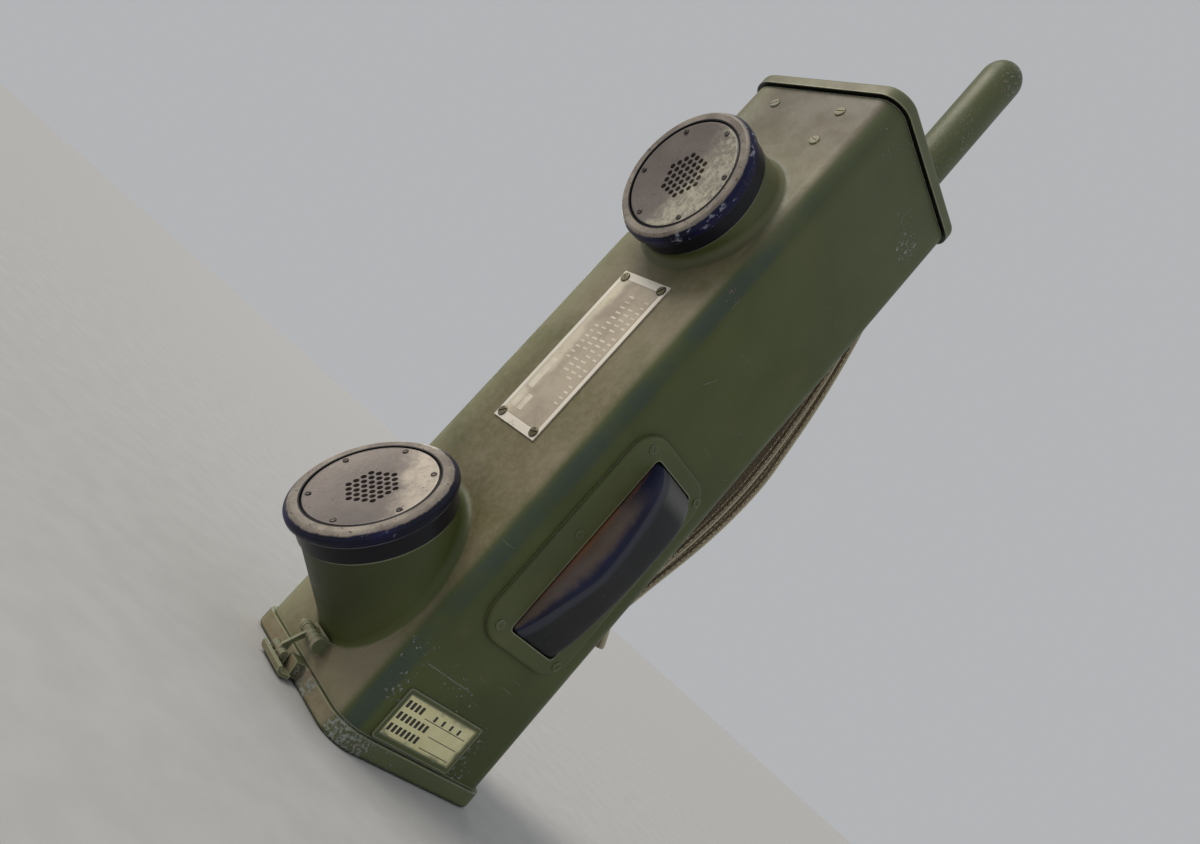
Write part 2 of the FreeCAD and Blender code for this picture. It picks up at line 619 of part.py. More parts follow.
def make_lid():
    tray = rounded_block("case_width + 2 * lip", "case_depth + 2 * lip", 0, "lid_height",
                         "front_radius + lip",
                         "rear_radius + lip")
    round_edges(tray, "lid_edge_radius", at_height(0))
    hollow = rounded_block("case_width - 2 * case_wall - 1.6", "case_depth - 2 * case_wall - 1.6",
                           "lid_floor",
                           "lid_height", "front_radius - case_wall", "rear_radius - case_wall")
    groove = cut(rounded_block("case_width - 0.6", "case_depth - 0.6", "lid_height - 1.8", 3, "front_radius",
                               "rear_radius"),
                 rounded_block("case_width - 2 * case_wall + 0.2", "case_depth - 2 * case_wall + 0.2",
                               "lid_height - 3", 5, "front_radius - case_wall", "rear_radius - case_wall"))
    parts = [tray]
    for x0, x1 in LID_KNUCKLES:
        parts.append(box(x0, x1, "case_depth / 2 + lip - 1", "hinge_y", "lid_height - 2.6", "lid_height"))
        parts.append(rod("hinge_knuckle_radius", (x0, "hinge_y", "hinge_z"), x1 - x0, "x"))
    keeper_root = "-case_depth / 2 - lip + 1"
    parts.append(extruded("YZ_Plane", [(keeper_root, "lid_height"), ("keeper_y - 1.4", "lid_height"),
                                       ("keeper_y - 0.4", 1.6), (keeper_root, 1.6)], 7.4, x=0.4))
    bore = rod("hinge_pin_radius + running_gap", (-40, "hinge_y", "hinge_z"), 80, "x")
    leaf_room = [box(x0 - 0.3, x1 + 0.3, "case_depth / 2 + lip + 0.01", 60, 3, 12)
                 for x0, x1 in CASE_KNUCKLES]
    node("battery_lid", cut(fuse(*parts), hollow, groove, bore, *leaf_room))
    seal_outer = rounded_block("case_width - 0.8", "case_depth - 0.8", "lid_height - 1.8", 2.0,
                               "front_radius",
                               "rear_radius")
    seal_inner = rounded_block("case_width - 2 * case_wall + 0.4", "case_depth - 2 * case_wall + 0.4",
                               "lid_height - 3", 5, "front_radius - case_wall", "rear_radius - case_wall")
    node("lid_gasket", cut(seal_outer, seal_inner))
    strips = []
    for x in (-21.0, 13.5):
        strip = extruded("YZ_Plane", [(8, 3.0), (34, 3.0), (34, 3.6), (29, 3.6), (23, 12.2), (19, 12.2),
                                      (13, 3.6),
                                      (8, 3.6)], 10, x=x - 5)
        arch = extruded("YZ_Plane", [(14.2, 2.9), (27.8, 2.9), (22.7, 11.6), (19.3, 11.6)], 12, x=x - 6)
        strips.append(cut(strip, arch))
    springs = doc.addObject("Part::Compound", "springs")
    springs.Links = strips
    node("lid_contact_springs", springs)

    leaf = [box(-32, 32, "case_depth / 2", "case_depth / 2 + 1.2", "case_bottom + 0.4", "case_bottom + 18")]
    for x0, x1 in CASE_KNUCKLES:
        leaf.append(box(x0, x1, "case_depth / 2", "hinge_y", "hinge_z + 0.2", "hinge_z + 2.4"))
        leaf.append(rod("hinge_knuckle_radius", (x0, "hinge_y", "hinge_z"), x1 - x0, "x"))
    node("lid_hinge_leaf", cut(fuse(*leaf), rod("hinge_pin_radius", (-40, "hinge_y", "hinge_z"), 80, "x")))
    node("lid_hinge_pin", rod("hinge_pin_radius", (-31, "hinge_y", "hinge_z"), 62, "x"))


def make_latch(case_outside):
    """A thin hinged link that hangs from a barrel on the case; its thumb bar closes on the lid's keeper."""
    front, knuckle = "-case_depth / 2", "latch_knuckle_radius"
    bracket = [rod(1.6, (-11.0, "latch_y", "latch_z"), 1.2, "x"),
               rod(2.1, (-9.8, "latch_y", "latch_z"), 1.4, "x"),
               rod(2.6, (-8.4, "latch_y", "latch_z"), 2.4, "x"),
               rod(2.6, (-0.6, "latch_y", "latch_z"), 3.0, "x"),
               rod(2.1, (2.4, "latch_y", "latch_z"), 0.6, "x"),
               rod(2.9, (3.0, "latch_y", "latch_z"), 3.6, "x"),
               rod(knuckle, (6.6, "latch_y", "latch_z"), 1.6, "x"),
               box(-8.4, -6, "latch_y", front, "latch_z - 2.2", "latch_z + 2.2"),
               box(-0.6, 6.6, "latch_y", front, "latch_z - 2.0", "latch_z + 2.0"),
               box(6.6, 8.2, "latch_y", front, "latch_z - 3.4", "latch_z + 3.4"),
               box(-8.4, 8.2, front + " - 0.8", front, "latch_z - 3.4", "latch_z + 3.4")]
    pin_bore = rod("latch_pin_radius", (-9.8, "latch_y", "latch_z"), 17, "x")
    node("latch_bracket", cut(fuse(*bracket), pin_bore, case_outside))
    node("latch_pin", rod("latch_pin_radius", (-9.8, "latch_y", "latch_z"), 17, "x"))

    blade = extruded("YZ_Plane", [("latch_y - 2.4", "latch_z"), ("latch_y + 0.6", "latch_z"),
                                  ("keeper_y - 1.9", "latch_eye_z + 5"), ("keeper_y - 1.7", "latch_eye_z - 2"),
                                  ("latch_eye_y - 2", "latch_eye_z - 2"),
                                  ("latch_eye_y - 2", "latch_eye_z + 3")],
                     "latch_link_thickness", x=-2.9)
    hub = rod(2.4, (-5.6, "latch_y", "latch_z"), 4.6, "x")
    foot = rod("latch_eye_radius", (-5.6, "latch_eye_y", "latch_eye_z"), 4.6, "x")
    node("latch_link", cut(fuse(hub, blade, foot),
                           rod("latch_pin_radius + running_gap", (-20, "latch_y", "latch_z"), 40, "x"),
                           rod("latch_eye_pin_radius", (-20, "latch_eye_y", "latch_eye_z"), 40, "x")))
    node("latch_eye_pin", rod("latch_eye_pin_radius", (-8.2, "latch_eye_y", "latch_eye_z"), 9.8, "x"))

    eye = "latch_eye_radius"
    ears = []
    for x0, x1 in ((-8.2, -5.9), (-0.7, 1.6)):
        ears.append(rod(eye, (x0, "latch_eye_y", "latch_eye_z"), x1 - x0, "x"))
        ears.append(box(x0, x1, "latch_eye_y - 1.6", "latch_eye_y + 1.6", 1.4, "latch_eye_z"))
    bar = extruded("YZ_Plane", [("keeper_y - 0.82", 1.0), ("keeper_y - 0.82", 2.6),
                                ("keeper_y - 5.0", 2.4), ("keeper_y - 6.2", 3.2), ("keeper_y - 7.2", 4.8),
                                ("keeper_y - 8.2", 4.2), ("keeper_y - 7.4", 1.9), ("keeper_y - 5.8", 0.8)],
                   20, x=-10)
    node("latch_lever", cut(fuse(bar, *ears), rod("latch_eye_pin_radius + running_gap",
                                                  (-20, "latch_eye_y", "latch_eye_z"), 40, "x")))


# ---- aerial

def make_aerial():
    here = ("aerial_x", "aerial_y")
    cover_top = "case_bottom + case_length + gasket_thickness + cover_height"
    collar = revolved([("section_radius + 0.1", "-cover_height - 2.4"),
                       ("section_radius + 3.2", "-cover_height - 2.4"),
                       ("section_radius + 3.2", 0.1), ("cap_radius - cap_wall - 0.4", 0.1),
                       ("cap_radius - cap_wall - 0.4", 6), ("section_radius + 0.1", 6)])
    node("aerial_collar", place(collar, *here, cover_top))
    guide_foot = "aerial_foot - 3"
    guide = cut(rod("section_radius + 1.1", (*here, guide_foot),
                    cover_top + " - cover_height - 2.4 - (" + guide_foot + ")"),
                rod("section_radius + section_gap", (*here, "aerial_foot"), "cap_top"))
    node("aerial_guide", guide)
    tip = cover_top + " + 9"
    for number in range(4):
        outer = "section_radius - %d * section_step" % number
        bottom = "aerial_foot + %g" % (0.4 * (number + 1))
        top = tip + " + %g" % (1.2 * number) if number < 3 else "cap_top - 12"
        body = rod(outer, (*here, bottom), "%s - (%s)" % (top, bottom))
        bore = rod(outer + " - section_step + section_gap", (*here, bottom + " + 0.3"), "cap_top")
        node("aerial_section_%d" % (number + 1), cut(body, bore) if number < 3 else body)
    wall_inner = "cap_radius - cap_wall"
    height = "cap_top - (%s)" % cover_top
    shell = rod("cap_radius", (*here, cover_top + " + 0.3"), height + " - 0.3 - cap_radius")
    dome = doc.addObject("Part::Sphere", "dome")
    bind(dome, Radius="cap_radius")
    place(dome, *here, "cap_top - cap_radius")
    inside = rod(wall_inner, (*here, cover_top), height + " - cap_radius")
    roof = doc.addObject("Part::Sphere", "roof")
    bind(roof, Radius=wall_inner)
    place(roof, *here, "cap_top - cap_radius")
    boss = common(cut(rod("section_radius - 1.4", (*here, "cap_top - 22"), 21.5),
                      rod("section_radius - 3 * section_step", (*here, "cap_top - 23"), 11)),
                      fuse(shell, dome))
    node("aerial_cap", fuse(cut(fuse(shell, dome), inside, roof), boss))


# ---- hand strap

STRAP_INNER = ((50, 320), (50.8, 313), (61.5, 298), (70, 275), (76, 245), (79.5, 212), (79, 185), (74, 155),
               (66, 125), (57.5, 95), (50.8, 70), (50, 63))
STRAP_OUTER = ((48, 320), (48, 327.4), (50.3, 330.6), (54.7, 330.6), (57, 327.4), (58.5, 318), (67.5, 301),
               (76, 275), (82, 250), (86, 225), (88.3, 205), (86.3, 180), (81, 155), (72.5, 127), (64, 97),
               (58.5, 66), (57, 55.6), (54.7, 52.4), (50.3, 52.4), (48, 55.6), (48, 63))
STRAP_TAIL = ((64.95, 100), (70.5, 95), (78, 88.5), (73, 80), (66.5, 86), (63.35, 93))


def strap_layer(name, line):
    """A webbing strip of even thickness that follows a line of (Y, Z) points, joined in straight runs."""
    thickness = value("strap_thickness")
    outline, back = [], []
    for i, (y, z) in enumerate(line):
        y0, z0 = line[max(i - 1, 0)]
        y1, z1 = line[min(i + 1, len(line) - 1)]
        length = math.hypot(y1 - y0, z1 - z0)
        outline.append((y, z))
        back.append((y + (z1 - z0) / length * thickness, z - (y1 - y0) / length * thickness))
    width = value("strap_width")
    node(name, extruded("YZ_Plane", outline + back[::-1], "strap_width", x=-width / 2))


def make_strap():
    strap_layer("strap_inner", STRAP_INNER)
    strap_layer("strap_outer", STRAP_OUTER)
    node("strap_tail", extruded("YZ_Plane", STRAP_TAIL, "strap_width", x="-strap_width / 2"))
    rear = "case_depth / 2"
    places = []
    for name, z in (("strap_bracket_upper", "bracket_high_z"), ("strap_bracket_lower", "bracket_low_z")):
        half = "bracket_width / 2"
        foot = box("-" + half, half, rear, rear + " + 1.6", z + " - 7", z + " + 7")
        posts = [box(x0, x1, rear, rear + " + rung_reach", z + " - rung_radius", z + " + rung_radius")
                 for x0, x1 in (("-" + half, "-%s + 2.5" % half), (half + " - 2.5", half))]
        rung = rod("rung_radius", ("-" + half, rear + " + rung_reach", z), "bracket_width", "x")
        holes = [rod(1.6, (x, rear + " - 1", z), 4, "y") for x in (-18, 18)]
        node(name, cut(fuse(foot, rung, *posts), *holes))
        places += [((x, value(rear + " + 1.6"), value(z)), (0, 1, 0), angle)
                   for x, angle in ((-18, 25), (18, -50))]
    screws("strap_bracket_screws", screw_shape(2.9, 1.2, 1.55, 6.4), places)


# ---- inside: chassis, tubes, coils and batteries

def make_inside():
    web_front, web_rear = 0.9, "0.9 + web_thickness"
    shelves = (104, 168, 232, 292)
    frame = [box(-39, 12, web_front, web_rear, 22, 338), box(-39, -37.8, -37, web_front + 0.5, 100, 338)]
    for z in shelves:
        frame.append(box(-39, 12, -37, web_front + 0.5, z, "%g + web_thickness" % z))
    node("chassis_frame", fuse(*frame))
    seats = [(-27, 104), (-4, 104), (-27, 168), (-4, 168), (-27, 232)]
    tubes, sockets = [], []
    for x, z in seats:
        base = z + value("web_thickness")
        sockets.append(place(revolved([(0, 0), ("tube_radius + 0.6", 0), ("tube_radius + 0.6", 6), (0, 6)]),
                             x, -18, base))
        tubes.append(place(revolved([(0, 6.05), ("tube_radius", 6.05), ("tube_radius", "tube_height"),
                                     ("tube_radius - 2", "tube_height + 4"), (1.6, "tube_height + 6"),
                                     (0.6, "tube_height + 9"), (0, "tube_height + 9")]), x, -18, base))
    for name, pieces in (("vacuum_tubes", tubes), ("tube_sockets", sockets)):
        group = doc.addObject("Part::Compound", name)
        group.Links = pieces
        node(name, group)
    cans = doc.addObject("Part::Compound", "cans")
    cans.Links = [box(-13, 5, -27, -9, "232 + web_thickness", 272),
                  box(-36, -18, -27, -9, "292 + web_thickness", 332)]
    node("tuning_cans", cans)
    former = rod(7, (-4, -18, "292 + web_thickness"), 36)
    windings = [rod(7.8, (-4, -18, 298 + 3.2 * k), 2.2) for k in range(8)]
    node("tank_coil", fuse(former, *windings))
    node("audio_transformer", fuse(box(-34, -6, -23, web_front, 46, 82), box(-28, -12, -27, -1, 50, 78)))
    crystals = doc.addObject("Part::Compound", "crystals")
    crystals.Links = [box(x, x + 11, web_rear, 13, 306, 330) for x in (-34, -20)]
    node("crystal_holders", crystals)
    node("high_voltage_battery", box(-39, "-39 + battery_side", 4.5, "4.5 + battery_side", 13,
                                     "13 + battery_length"))
    cell = revolved([(0, 0), ("cell_radius", 0), ("cell_radius", "cell_length"), (4, "cell_length"),
                     (4, "cell_length + 2"), (0, "cell_length + 2")])
    node("filament_battery", place(cell, 13.5, 21.5, 13))


def write_parts():
    """Stop on any failed object or bad shape, then write one STEP file for each sub-part."""
    doc.recompute()
    for obj in doc.Objects:
        if "Invalid" in obj.State or "Error" in obj.State:
            raise RuntimeError("failed: %s %s" % (obj.Label, obj.State))
    os.makedirs("parts", exist_ok=True)
    for name, obj in nodes.items():
        shape = obj.Shape
        if shape.isNull() or not shape.isValid() or not shape.Solids:
            raise RuntimeError("bad shape: " + name)
        shape.exportStep("parts/%s.step" % name)
        b = shape.BoundBox
        print("%-22s %2d solids %9.1f mm3  x %.1f..%.1f y %.1f..%.1f z %.1f..%.1f" % (
            name, len(shape.Solids), shape.Volume, b.XMin, b.XMax, b.YMin, b.YMax, b.ZMin, b.ZMax))


case_outside = make_case()
make_top()
make_cap("mouth", "microphone_capsule")
make_cap("ear", "earphone_capsule")
make_labels()
make_talk_lever()
make_lid()
make_latch(case_outside)
make_aerial()
make_strap()
make_inside()
write_parts()
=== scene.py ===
import math
import bmesh
import bpy
from mathutils import Matrix, Vector


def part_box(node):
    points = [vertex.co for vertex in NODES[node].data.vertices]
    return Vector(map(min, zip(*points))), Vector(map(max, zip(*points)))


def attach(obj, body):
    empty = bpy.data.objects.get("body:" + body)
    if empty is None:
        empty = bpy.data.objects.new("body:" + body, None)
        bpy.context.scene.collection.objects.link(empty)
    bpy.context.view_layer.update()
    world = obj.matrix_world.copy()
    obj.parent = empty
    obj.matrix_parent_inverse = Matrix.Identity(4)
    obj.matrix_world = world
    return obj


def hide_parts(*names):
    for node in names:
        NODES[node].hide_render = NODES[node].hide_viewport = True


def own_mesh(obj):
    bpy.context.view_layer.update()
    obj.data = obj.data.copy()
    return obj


# Looks for a hand-held field radio. Everything is in metres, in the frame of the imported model:
# +Z up the case, -Y out of the front, +X out of the side with the talk lever, +Y to the strap.
# In the functions that make materials, s is the Shader being built.

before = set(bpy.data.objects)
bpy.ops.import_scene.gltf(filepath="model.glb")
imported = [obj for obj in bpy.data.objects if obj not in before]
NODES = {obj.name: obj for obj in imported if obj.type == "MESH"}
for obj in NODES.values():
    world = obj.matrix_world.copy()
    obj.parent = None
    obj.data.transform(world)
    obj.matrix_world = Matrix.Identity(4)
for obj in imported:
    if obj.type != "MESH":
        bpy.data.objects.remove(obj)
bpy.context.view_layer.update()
MM = 0.001


def middle_of(node):
    """The middle of a node's box."""
    lower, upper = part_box(node)
    return (lower + upper) / 2


# The plane of the case's side with the talk lever, and the height of the seam under the top cover.
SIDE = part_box("case_shell")[1].x
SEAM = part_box("top_gasket")[0].z


# ---- camera, lights and floor

CAMERA_PLACE = (0.29516, -0.27696, 0.09979)
CAMERA_RIGHT = Vector((0.5803, 0.4797, 0.6581))
CAMERA_UP = Vector((-0.3594, -0.5744, 0.7355))


def add_camera():
    """Close to the set, level with its lower third, and rolled by almost half a right angle."""
    data = bpy.data.cameras.new("camera")
    data.sensor_width = 36
    data.lens = 26.41
    data.clip_start = 0.005
    camera = bpy.data.objects.new("camera", data)
    bpy.context.collection.objects.link(camera)
    turn = Matrix((CAMERA_RIGHT, CAMERA_UP, CAMERA_RIGHT.cross(CAMERA_UP))).transposed()
    camera.matrix_world = Matrix.Translation(CAMERA_PLACE) @ turn.to_4x4()
    bpy.context.scene.camera = camera


def add_sun(name, direction, strength, spread, colour):
    """One broad soft light from far off. Direction points from the set towards it."""
    data = bpy.data.lights.new(name, "SUN")
    data.energy = strength
    data.angle = math.radians(spread)
    data.color = colour
    lamp = bpy.data.objects.new(name, data)
    bpy.context.collection.objects.link(lamp)
    lamp.rotation_euler = Vector(direction).to_track_quat("Z", "Y").to_euler()


def add_stage():
    """A plain pale floor under an even pale sky."""
    world = bpy.data.worlds.new("studio")
    world.use_nodes = True
    bpy.context.scene.world = world
    sky = world.node_tree.nodes["Background"]
    sky.inputs["Color"].default_value = (0.95, 0.97, 1.0, 1)
    sky.inputs["Strength"].default_value = 0.47
    bpy.context.scene.view_settings.view_transform = "Standard"
    mesh = bpy.data.meshes.new("floor")
    mesh.from_pydata([(-30, -30, 0), (30, -30, 0), (30, 30, 0), (-30, 30, 0)], [], [(0, 1, 2, 3)])
    floor = bpy.data.objects.new("floor", mesh)
    bpy.context.collection.objects.link(floor)
    shader = Shader("floor_paper")
    tone = shader.step(shader.noise(60, 4), 0.3, 0.7)
    shader.finish(shader.mix(tone, (0.47, 0.47, 0.47), (0.50, 0.50, 0.50)), 0.9)
    mesh.materials.append(shader.material)


# ---- shader building

class Shader:
    """One node material. Its coordinates are the object's own, in metres."""

    def __init__(self, name):
        self.material = bpy.data.materials.new(name)
        self.material.use_nodes = True
        self.tree = self.material.node_tree
        self.bsdf = self.tree.nodes["Principled BSDF"]
        self.place = self.tree.nodes.new("ShaderNodeTexCoord").outputs["Object"]
        self.geometry = self.tree.nodes.new("ShaderNodeNewGeometry")

    def feed(self, socket, value):
        if isinstance(value, bpy.types.NodeSocket):
            self.tree.links.new(value, socket)
        elif isinstance(value, tuple) and len(value) == 3 and socket.type == "RGBA":
            socket.default_value = (*value, 1)
        else:
            socket.default_value = value

    def add(self, kind, output, settings=(), **inputs):
        node = self.tree.nodes.new("ShaderNode" + kind)
        for key, value in dict(settings).items():
            setattr(node, key, value)
        for key, value in inputs.items():
            self.feed(node.inputs[key.replace("_", " ")], value)
        return node.outputs[output]

    def noise(self, scale, detail=4.0, rough=0.55, at=None, twist=0.0):
        return self.add("TexNoise", "Fac", Vector=at or self.place, Scale=scale, Detail=detail,
                        Roughness=rough, Distortion=twist)

    def warp(self, stretch, turn=(0, 0, 0), at=None):
        """Coordinates turned, then scaled apart by axis, so that a texture comes out as streaks."""
        node = self.tree.nodes.new("ShaderNodeMapping")
        self.feed(node.inputs["Vector"], at or self.place)
        node.inputs["Rotation"].default_value = [math.radians(a) for a in turn]
        second = self.tree.nodes.new("ShaderNodeMapping")
        self.tree.links.new(node.outputs["Vector"], second.inputs["Vector"])
        second.inputs["Scale"].default_value = stretch
        return second.outputs["Vector"]

    def step(self, value, low, high):
        """0 below low, 1 above high, smooth between. With low above high it falls."""
        node = self.tree.nodes.new("ShaderNodeMapRange")
        node.interpolation_type = "SMOOTHSTEP"
        self.feed(node.inputs["Value"], value)
        node.inputs["From Min"].default_value = min(low, high)
        node.inputs["From Max"].default_value = max(low, high)
        if low > high:
            node.inputs["To Min"].default_value = 1
            node.inputs["To Max"].default_value = 0
        return node.outputs["Result"]

    def calc(self, operation, a, b=0.0):
        node = self.tree.nodes.new("ShaderNodeMath")
        node.operation = operation
        node.use_clamp = False
        self.feed(node.inputs[0], a)
        self.feed(node.inputs[1], b)
        return node.outputs[0]

    def times(self, *values):
        result = values[0]
        for value in values[1:]:
            result = self.calc("MULTIPLY", result, value)
        return result

    def plus(self, *values):
        """Masks added together and held under 1."""
        result = values[0]
        for value in values[1:]:
            result = self.calc("ADD", result, value)
        return self.calc("MINIMUM", result, 1.0)

    def mix(self, factor, a, b):
        node = self.tree.nodes.new("ShaderNodeMix")
        node.data_type = "RGBA"
        self.feed(node.inputs[0], factor)
        self.feed(node.inputs[6], a)
        self.feed(node.inputs[7], b)
        return node.outputs[2]

    def along(self, direction, centre=(0, 0, 0), at=None):
        """The distance of a point, or of the vector at, from a plane through centre, along direction."""
        shifted = self.add("VectorMath", "Vector", {"operation": "SUBTRACT"})
        node = shifted.node
        self.feed(node.inputs[0], at or self.place)
        node.inputs[1].default_value = centre
        dot = self.tree.nodes.new("ShaderNodeVectorMath")
        dot.operation = "DOT_PRODUCT"
        self.tree.links.new(shifted, dot.inputs[0])
        dot.inputs[1].default_value = direction
        return dot.outputs["Value"]

    def near(self, centre, radius, soft=0.5):
        """1 inside a ball round centre, falling to 0 outside it."""
        node = self.tree.nodes.new("ShaderNodeVectorMath")
        node.operation = "DISTANCE"
        self.tree.links.new(self.place, node.inputs[0])
        node.inputs[1].default_value = centre
        return self.step(node.outputs["Value"], radius, radius * (1 - soft))

    def stroke(self, start, end, half_width):
        """1 along a straight scratch from start to end, frayed at its edges and its ends."""
        a, b = Vector(start), Vector(end)
        half = (b - a).length / 2
        direction = (b - a).normalized()
        sideways = direction.cross(Vector((1, 0, 0))).normalized()
        fray = self.times(self.calc("SUBTRACT", self.noise(400, 4, 0.7), 0.5), half_width * 5)
        off = self.calc("ABSOLUTE", self.calc("ADD", self.along(tuple(sideways), tuple((a + b) / 2)), fray))
        run = self.calc("ABSOLUTE", self.along(tuple(direction), tuple((a + b) / 2)))
        outward = self.step(self.along((1, 0, 0), (a.x, 0, 0)), -0.0008, -0.0003)
        return self.times(self.step(off, half_width, half_width * 0.4), self.step(run, half, half * 0.8),
                          outward)

    def ring(self, axis, centre, radius, half_width):
        """1 on a ring of that radius round an axis, falling to 0 half a width away on either side."""
        offset = self.add("VectorMath", "Vector", {"operation": "SUBTRACT"})
        self.tree.links.new(self.place, offset.node.inputs[0])
        offset.node.inputs[1].default_value = centre
        cross = self.tree.nodes.new("ShaderNodeVectorMath")
        cross.operation = "CROSS_PRODUCT"
        self.tree.links.new(offset, cross.inputs[0])
        cross.inputs[1].default_value = axis
        length = self.tree.nodes.new("ShaderNodeVectorMath")
        length.operation = "LENGTH"
        self.tree.links.new(cross.outputs["Vector"], length.inputs[0])
        away = self.calc("ABSOLUTE", self.calc("SUBTRACT", length.outputs["Value"], radius))
        return self.step(away, half_width, half_width * 0.6)

    def edges(self, radius):
        """Where the surface turns sharply: the bevelled normal leans away from the true one."""
        bevel = self.tree.nodes.new("ShaderNodeBevel")
        bevel.samples = 4
        bevel.inputs["Radius"].default_value = radius
        dot = self.tree.nodes.new("ShaderNodeVectorMath")
        dot.operation = "DOT_PRODUCT"
        self.tree.links.new(bevel.outputs[0], dot.inputs[0])
        self.tree.links.new(self.geometry.outputs["Normal"], dot.inputs[1])
        return self.calc("SUBTRACT", 1.0, dot.outputs["Value"])

    def crevices(self, reach):
        """1 in the open, towards 0 where other surfaces stand close."""
        node = self.tree.nodes.new("ShaderNodeAmbientOcclusion")
        node.samples = 4
        node.inputs["Distance"].default_value = reach
        return node.outputs["AO"]

    def bump(self, height, distance):
        node = self.tree.nodes.new("ShaderNodeBump")
        node.inputs["Strength"].default_value = 1
        node.inputs["Distance"].default_value = distance
        self.feed(node.inputs["Height"], height)
        return node.outputs["Normal"]

    def finish(self, colour, rough, metal=0.0, normal=None, **more):
        self.feed(self.bsdf.inputs["Base Color"], colour)
        self.feed(self.bsdf.inputs["Roughness"], rough)
        self.feed(self.bsdf.inputs["Metallic"], metal)
        if normal:
            self.tree.links.new(normal, self.bsdf.inputs["Normal"])
        for key, value in more.items():
            self.feed(self.bsdf.inputs[key.replace("_", " ")], value)
        return self.material


# ---- materials

OLIVE = (0.084, 0.104, 0.030)
OLIVE_DARK = (0.058, 0.075, 0.021)
OLIVE_DUSTY = (0.125, 0.128, 0.058)
OLIVE_FADED = (0.150, 0.165, 0.092)
OLIVE_RUBBED = (0.42, 0.42, 0.27)
TAN_DARK = (0.178, 0.142, 0.076)
TAN_LIGHT = (0.300, 0.248, 0.172)
TAN_SPECK = (0.34, 0.30, 0.22)
# Painted shade for crevices, where other surfaces stand close.
CREVICE_SHADE = (0.020, 0.022, 0.010)
SHADOW = (0.004, 0.004, 0.003)
CHIPPED = (0.33, 0.36, 0.33)
PRIMER = (0.34, 0.24, 0.19)


def keep_colour(s, colour, facing, film):
    """No shades of its own: what a piece has unless olive_paint is given another function like it."""
    return colour


def olive_paint(name, seed=0.0, wear=1.0, zones=(), flakes_size=1.0, dust_and_light=0.75, fade=0.0, crevice_shade_amount=0.55, pink=(),
                strokes=(), rub=0.9, under_dust=keep_colour, over_dust=keep_colour, over_crevice_shade=keep_colour):
    """Olive drab enamel over cast metal: mottled, dusted in front with painted light there too, painted shade
    in its crevices, scratched, and chipped along its edges.

    zones holds (place, radius, amount) for each spot with more flakes, pink holds (place, radius) for each
    spot where primer shows, and strokes holds (start, end, half width) for each deep scratch. The last three
    arguments are functions that add a piece's own shades, painted light and shade among them.
    """
    s = Shader(name)
    here = s.warp((1, 1, 1), (seed * 37, seed * 53, seed * 71))
    broad, middle, fine = s.noise(11, 3, at=here), s.noise(55, 5, at=here), s.noise(420, 3, at=here)
    film = s.step(s.noise(26, 6, 0.65, at=here), 0.10, 0.60)
    facing = s.along((0, -1, 0), at=s.geometry.outputs["Normal"])
    colour = s.mix(s.step(broad, 0.35, 0.65), OLIVE_DARK, OLIVE)
    colour = s.mix(s.times(s.step(middle, 0.5, 0.8), 0.35), colour, OLIVE_DUSTY)
    colour = s.mix(fade, colour, OLIVE_FADED)
    colour = under_dust(s, colour, facing, film)
    rubbed = s.step(s.noise(9, 6, 0.68, at=here), 0.36, 0.64)
    speckle = s.step(s.noise(300, 5, 0.7, at=here), 0.40, 0.62)
    # Partly dusted, partly painted light: faces turned to the front go tan.
    front_dust_and_light = s.times(s.step(facing, 0.86, 0.998), film)
    tan = s.mix(rubbed, TAN_DARK, TAN_LIGHT)
    tan = s.mix(s.times(speckle, 0.28), tan, TAN_SPECK)
    colour = s.mix(s.times(front_dust_and_light, dust_and_light), colour, tan)
    colour = over_dust(s, colour, facing, film)
    # Painted shade where other surfaces stand close.
    crevice_shade = s.step(s.crevices(0.004), 0.80, 0.40)
    colour = s.mix(s.times(crevice_shade, crevice_shade_amount), colour, CREVICE_SHADE)
    colour = over_crevice_shade(s, colour, facing, film)

    edge = s.edges(0.0011)
    ragged = s.noise(230, 5, 0.7, at=here)
    broken = s.step(s.noise(38, 4, at=here), 0.42, 0.56)
    edge_wear = s.times(s.step(s.calc("MULTIPLY", edge, ragged), 0.040 / wear, 0.075 / wear), broken)
    zone = s.times(s.step(s.noise(17, 2, at=here), 0.70, 0.78), 0.6)
    for centre, radius, amount in zones:
        zone = s.calc("ADD", zone, s.times(s.near(centre, radius), amount))
    ground = s.noise(520 / flakes_size, 6, 0.72, at=here)
    flakes = s.step(s.calc("ADD", ground, s.times(zone, 0.085)), 0.652, 0.678)
    chips = s.times(s.step(zone, 0.05, 0.4), flakes)
    scratches = 0.0
    for turn in ((20, 35, 10), (70, -25, 55), (5, 80, 30)):
        streak = s.noise(1, 2, 0.5, at=s.warp((1700, 50, 50), turn, here))
        patch = s.step(s.noise(26, 2, at=s.warp((1, 1, 1), turn, here)), 0.58, 0.66)
        scratches = s.calc("ADD", s.times(s.step(streak, 0.71, 0.75), patch), scratches)
    for start, end, half_width in strokes:
        scratches = s.calc("ADD", s.times(s.stroke(start, end, half_width), 1.4), scratches)
    bare = s.plus(s.times(edge_wear, 0.8), chips, s.times(scratches, 0.5))
    rubbed_edge = s.times(s.step(edge, 0.015, 0.09), s.step(s.noise(90, 4, 0.6, at=here), 0.22, 0.46))
    colour = s.mix(s.times(rubbed_edge, rub), colour, OLIVE_RUBBED)
    primed = s.step(s.noise(60, 2, at=here), 0.60, 0.70)
    for centre, radius in pink:
        primed = s.plus(primed, s.near(centre, radius, 0.2))
    colour = s.mix(s.times(bare, 0.8), colour, s.mix(primed, CHIPPED, PRIMER))
    rough = s.calc("ADD", s.times(s.step(middle, 0.3, 0.8), 0.16), 0.42)
    grain = s.calc("ADD", s.times(fine, 0.5), s.times(middle, 1.0))
    normal = s.bump(s.calc("SUBTRACT", grain, s.times(bare, 1.2)), 0.00016)
    return s.finish(colour, rough, s.times(bare, 0.3), normal, Specular_IOR_Level=0.35)


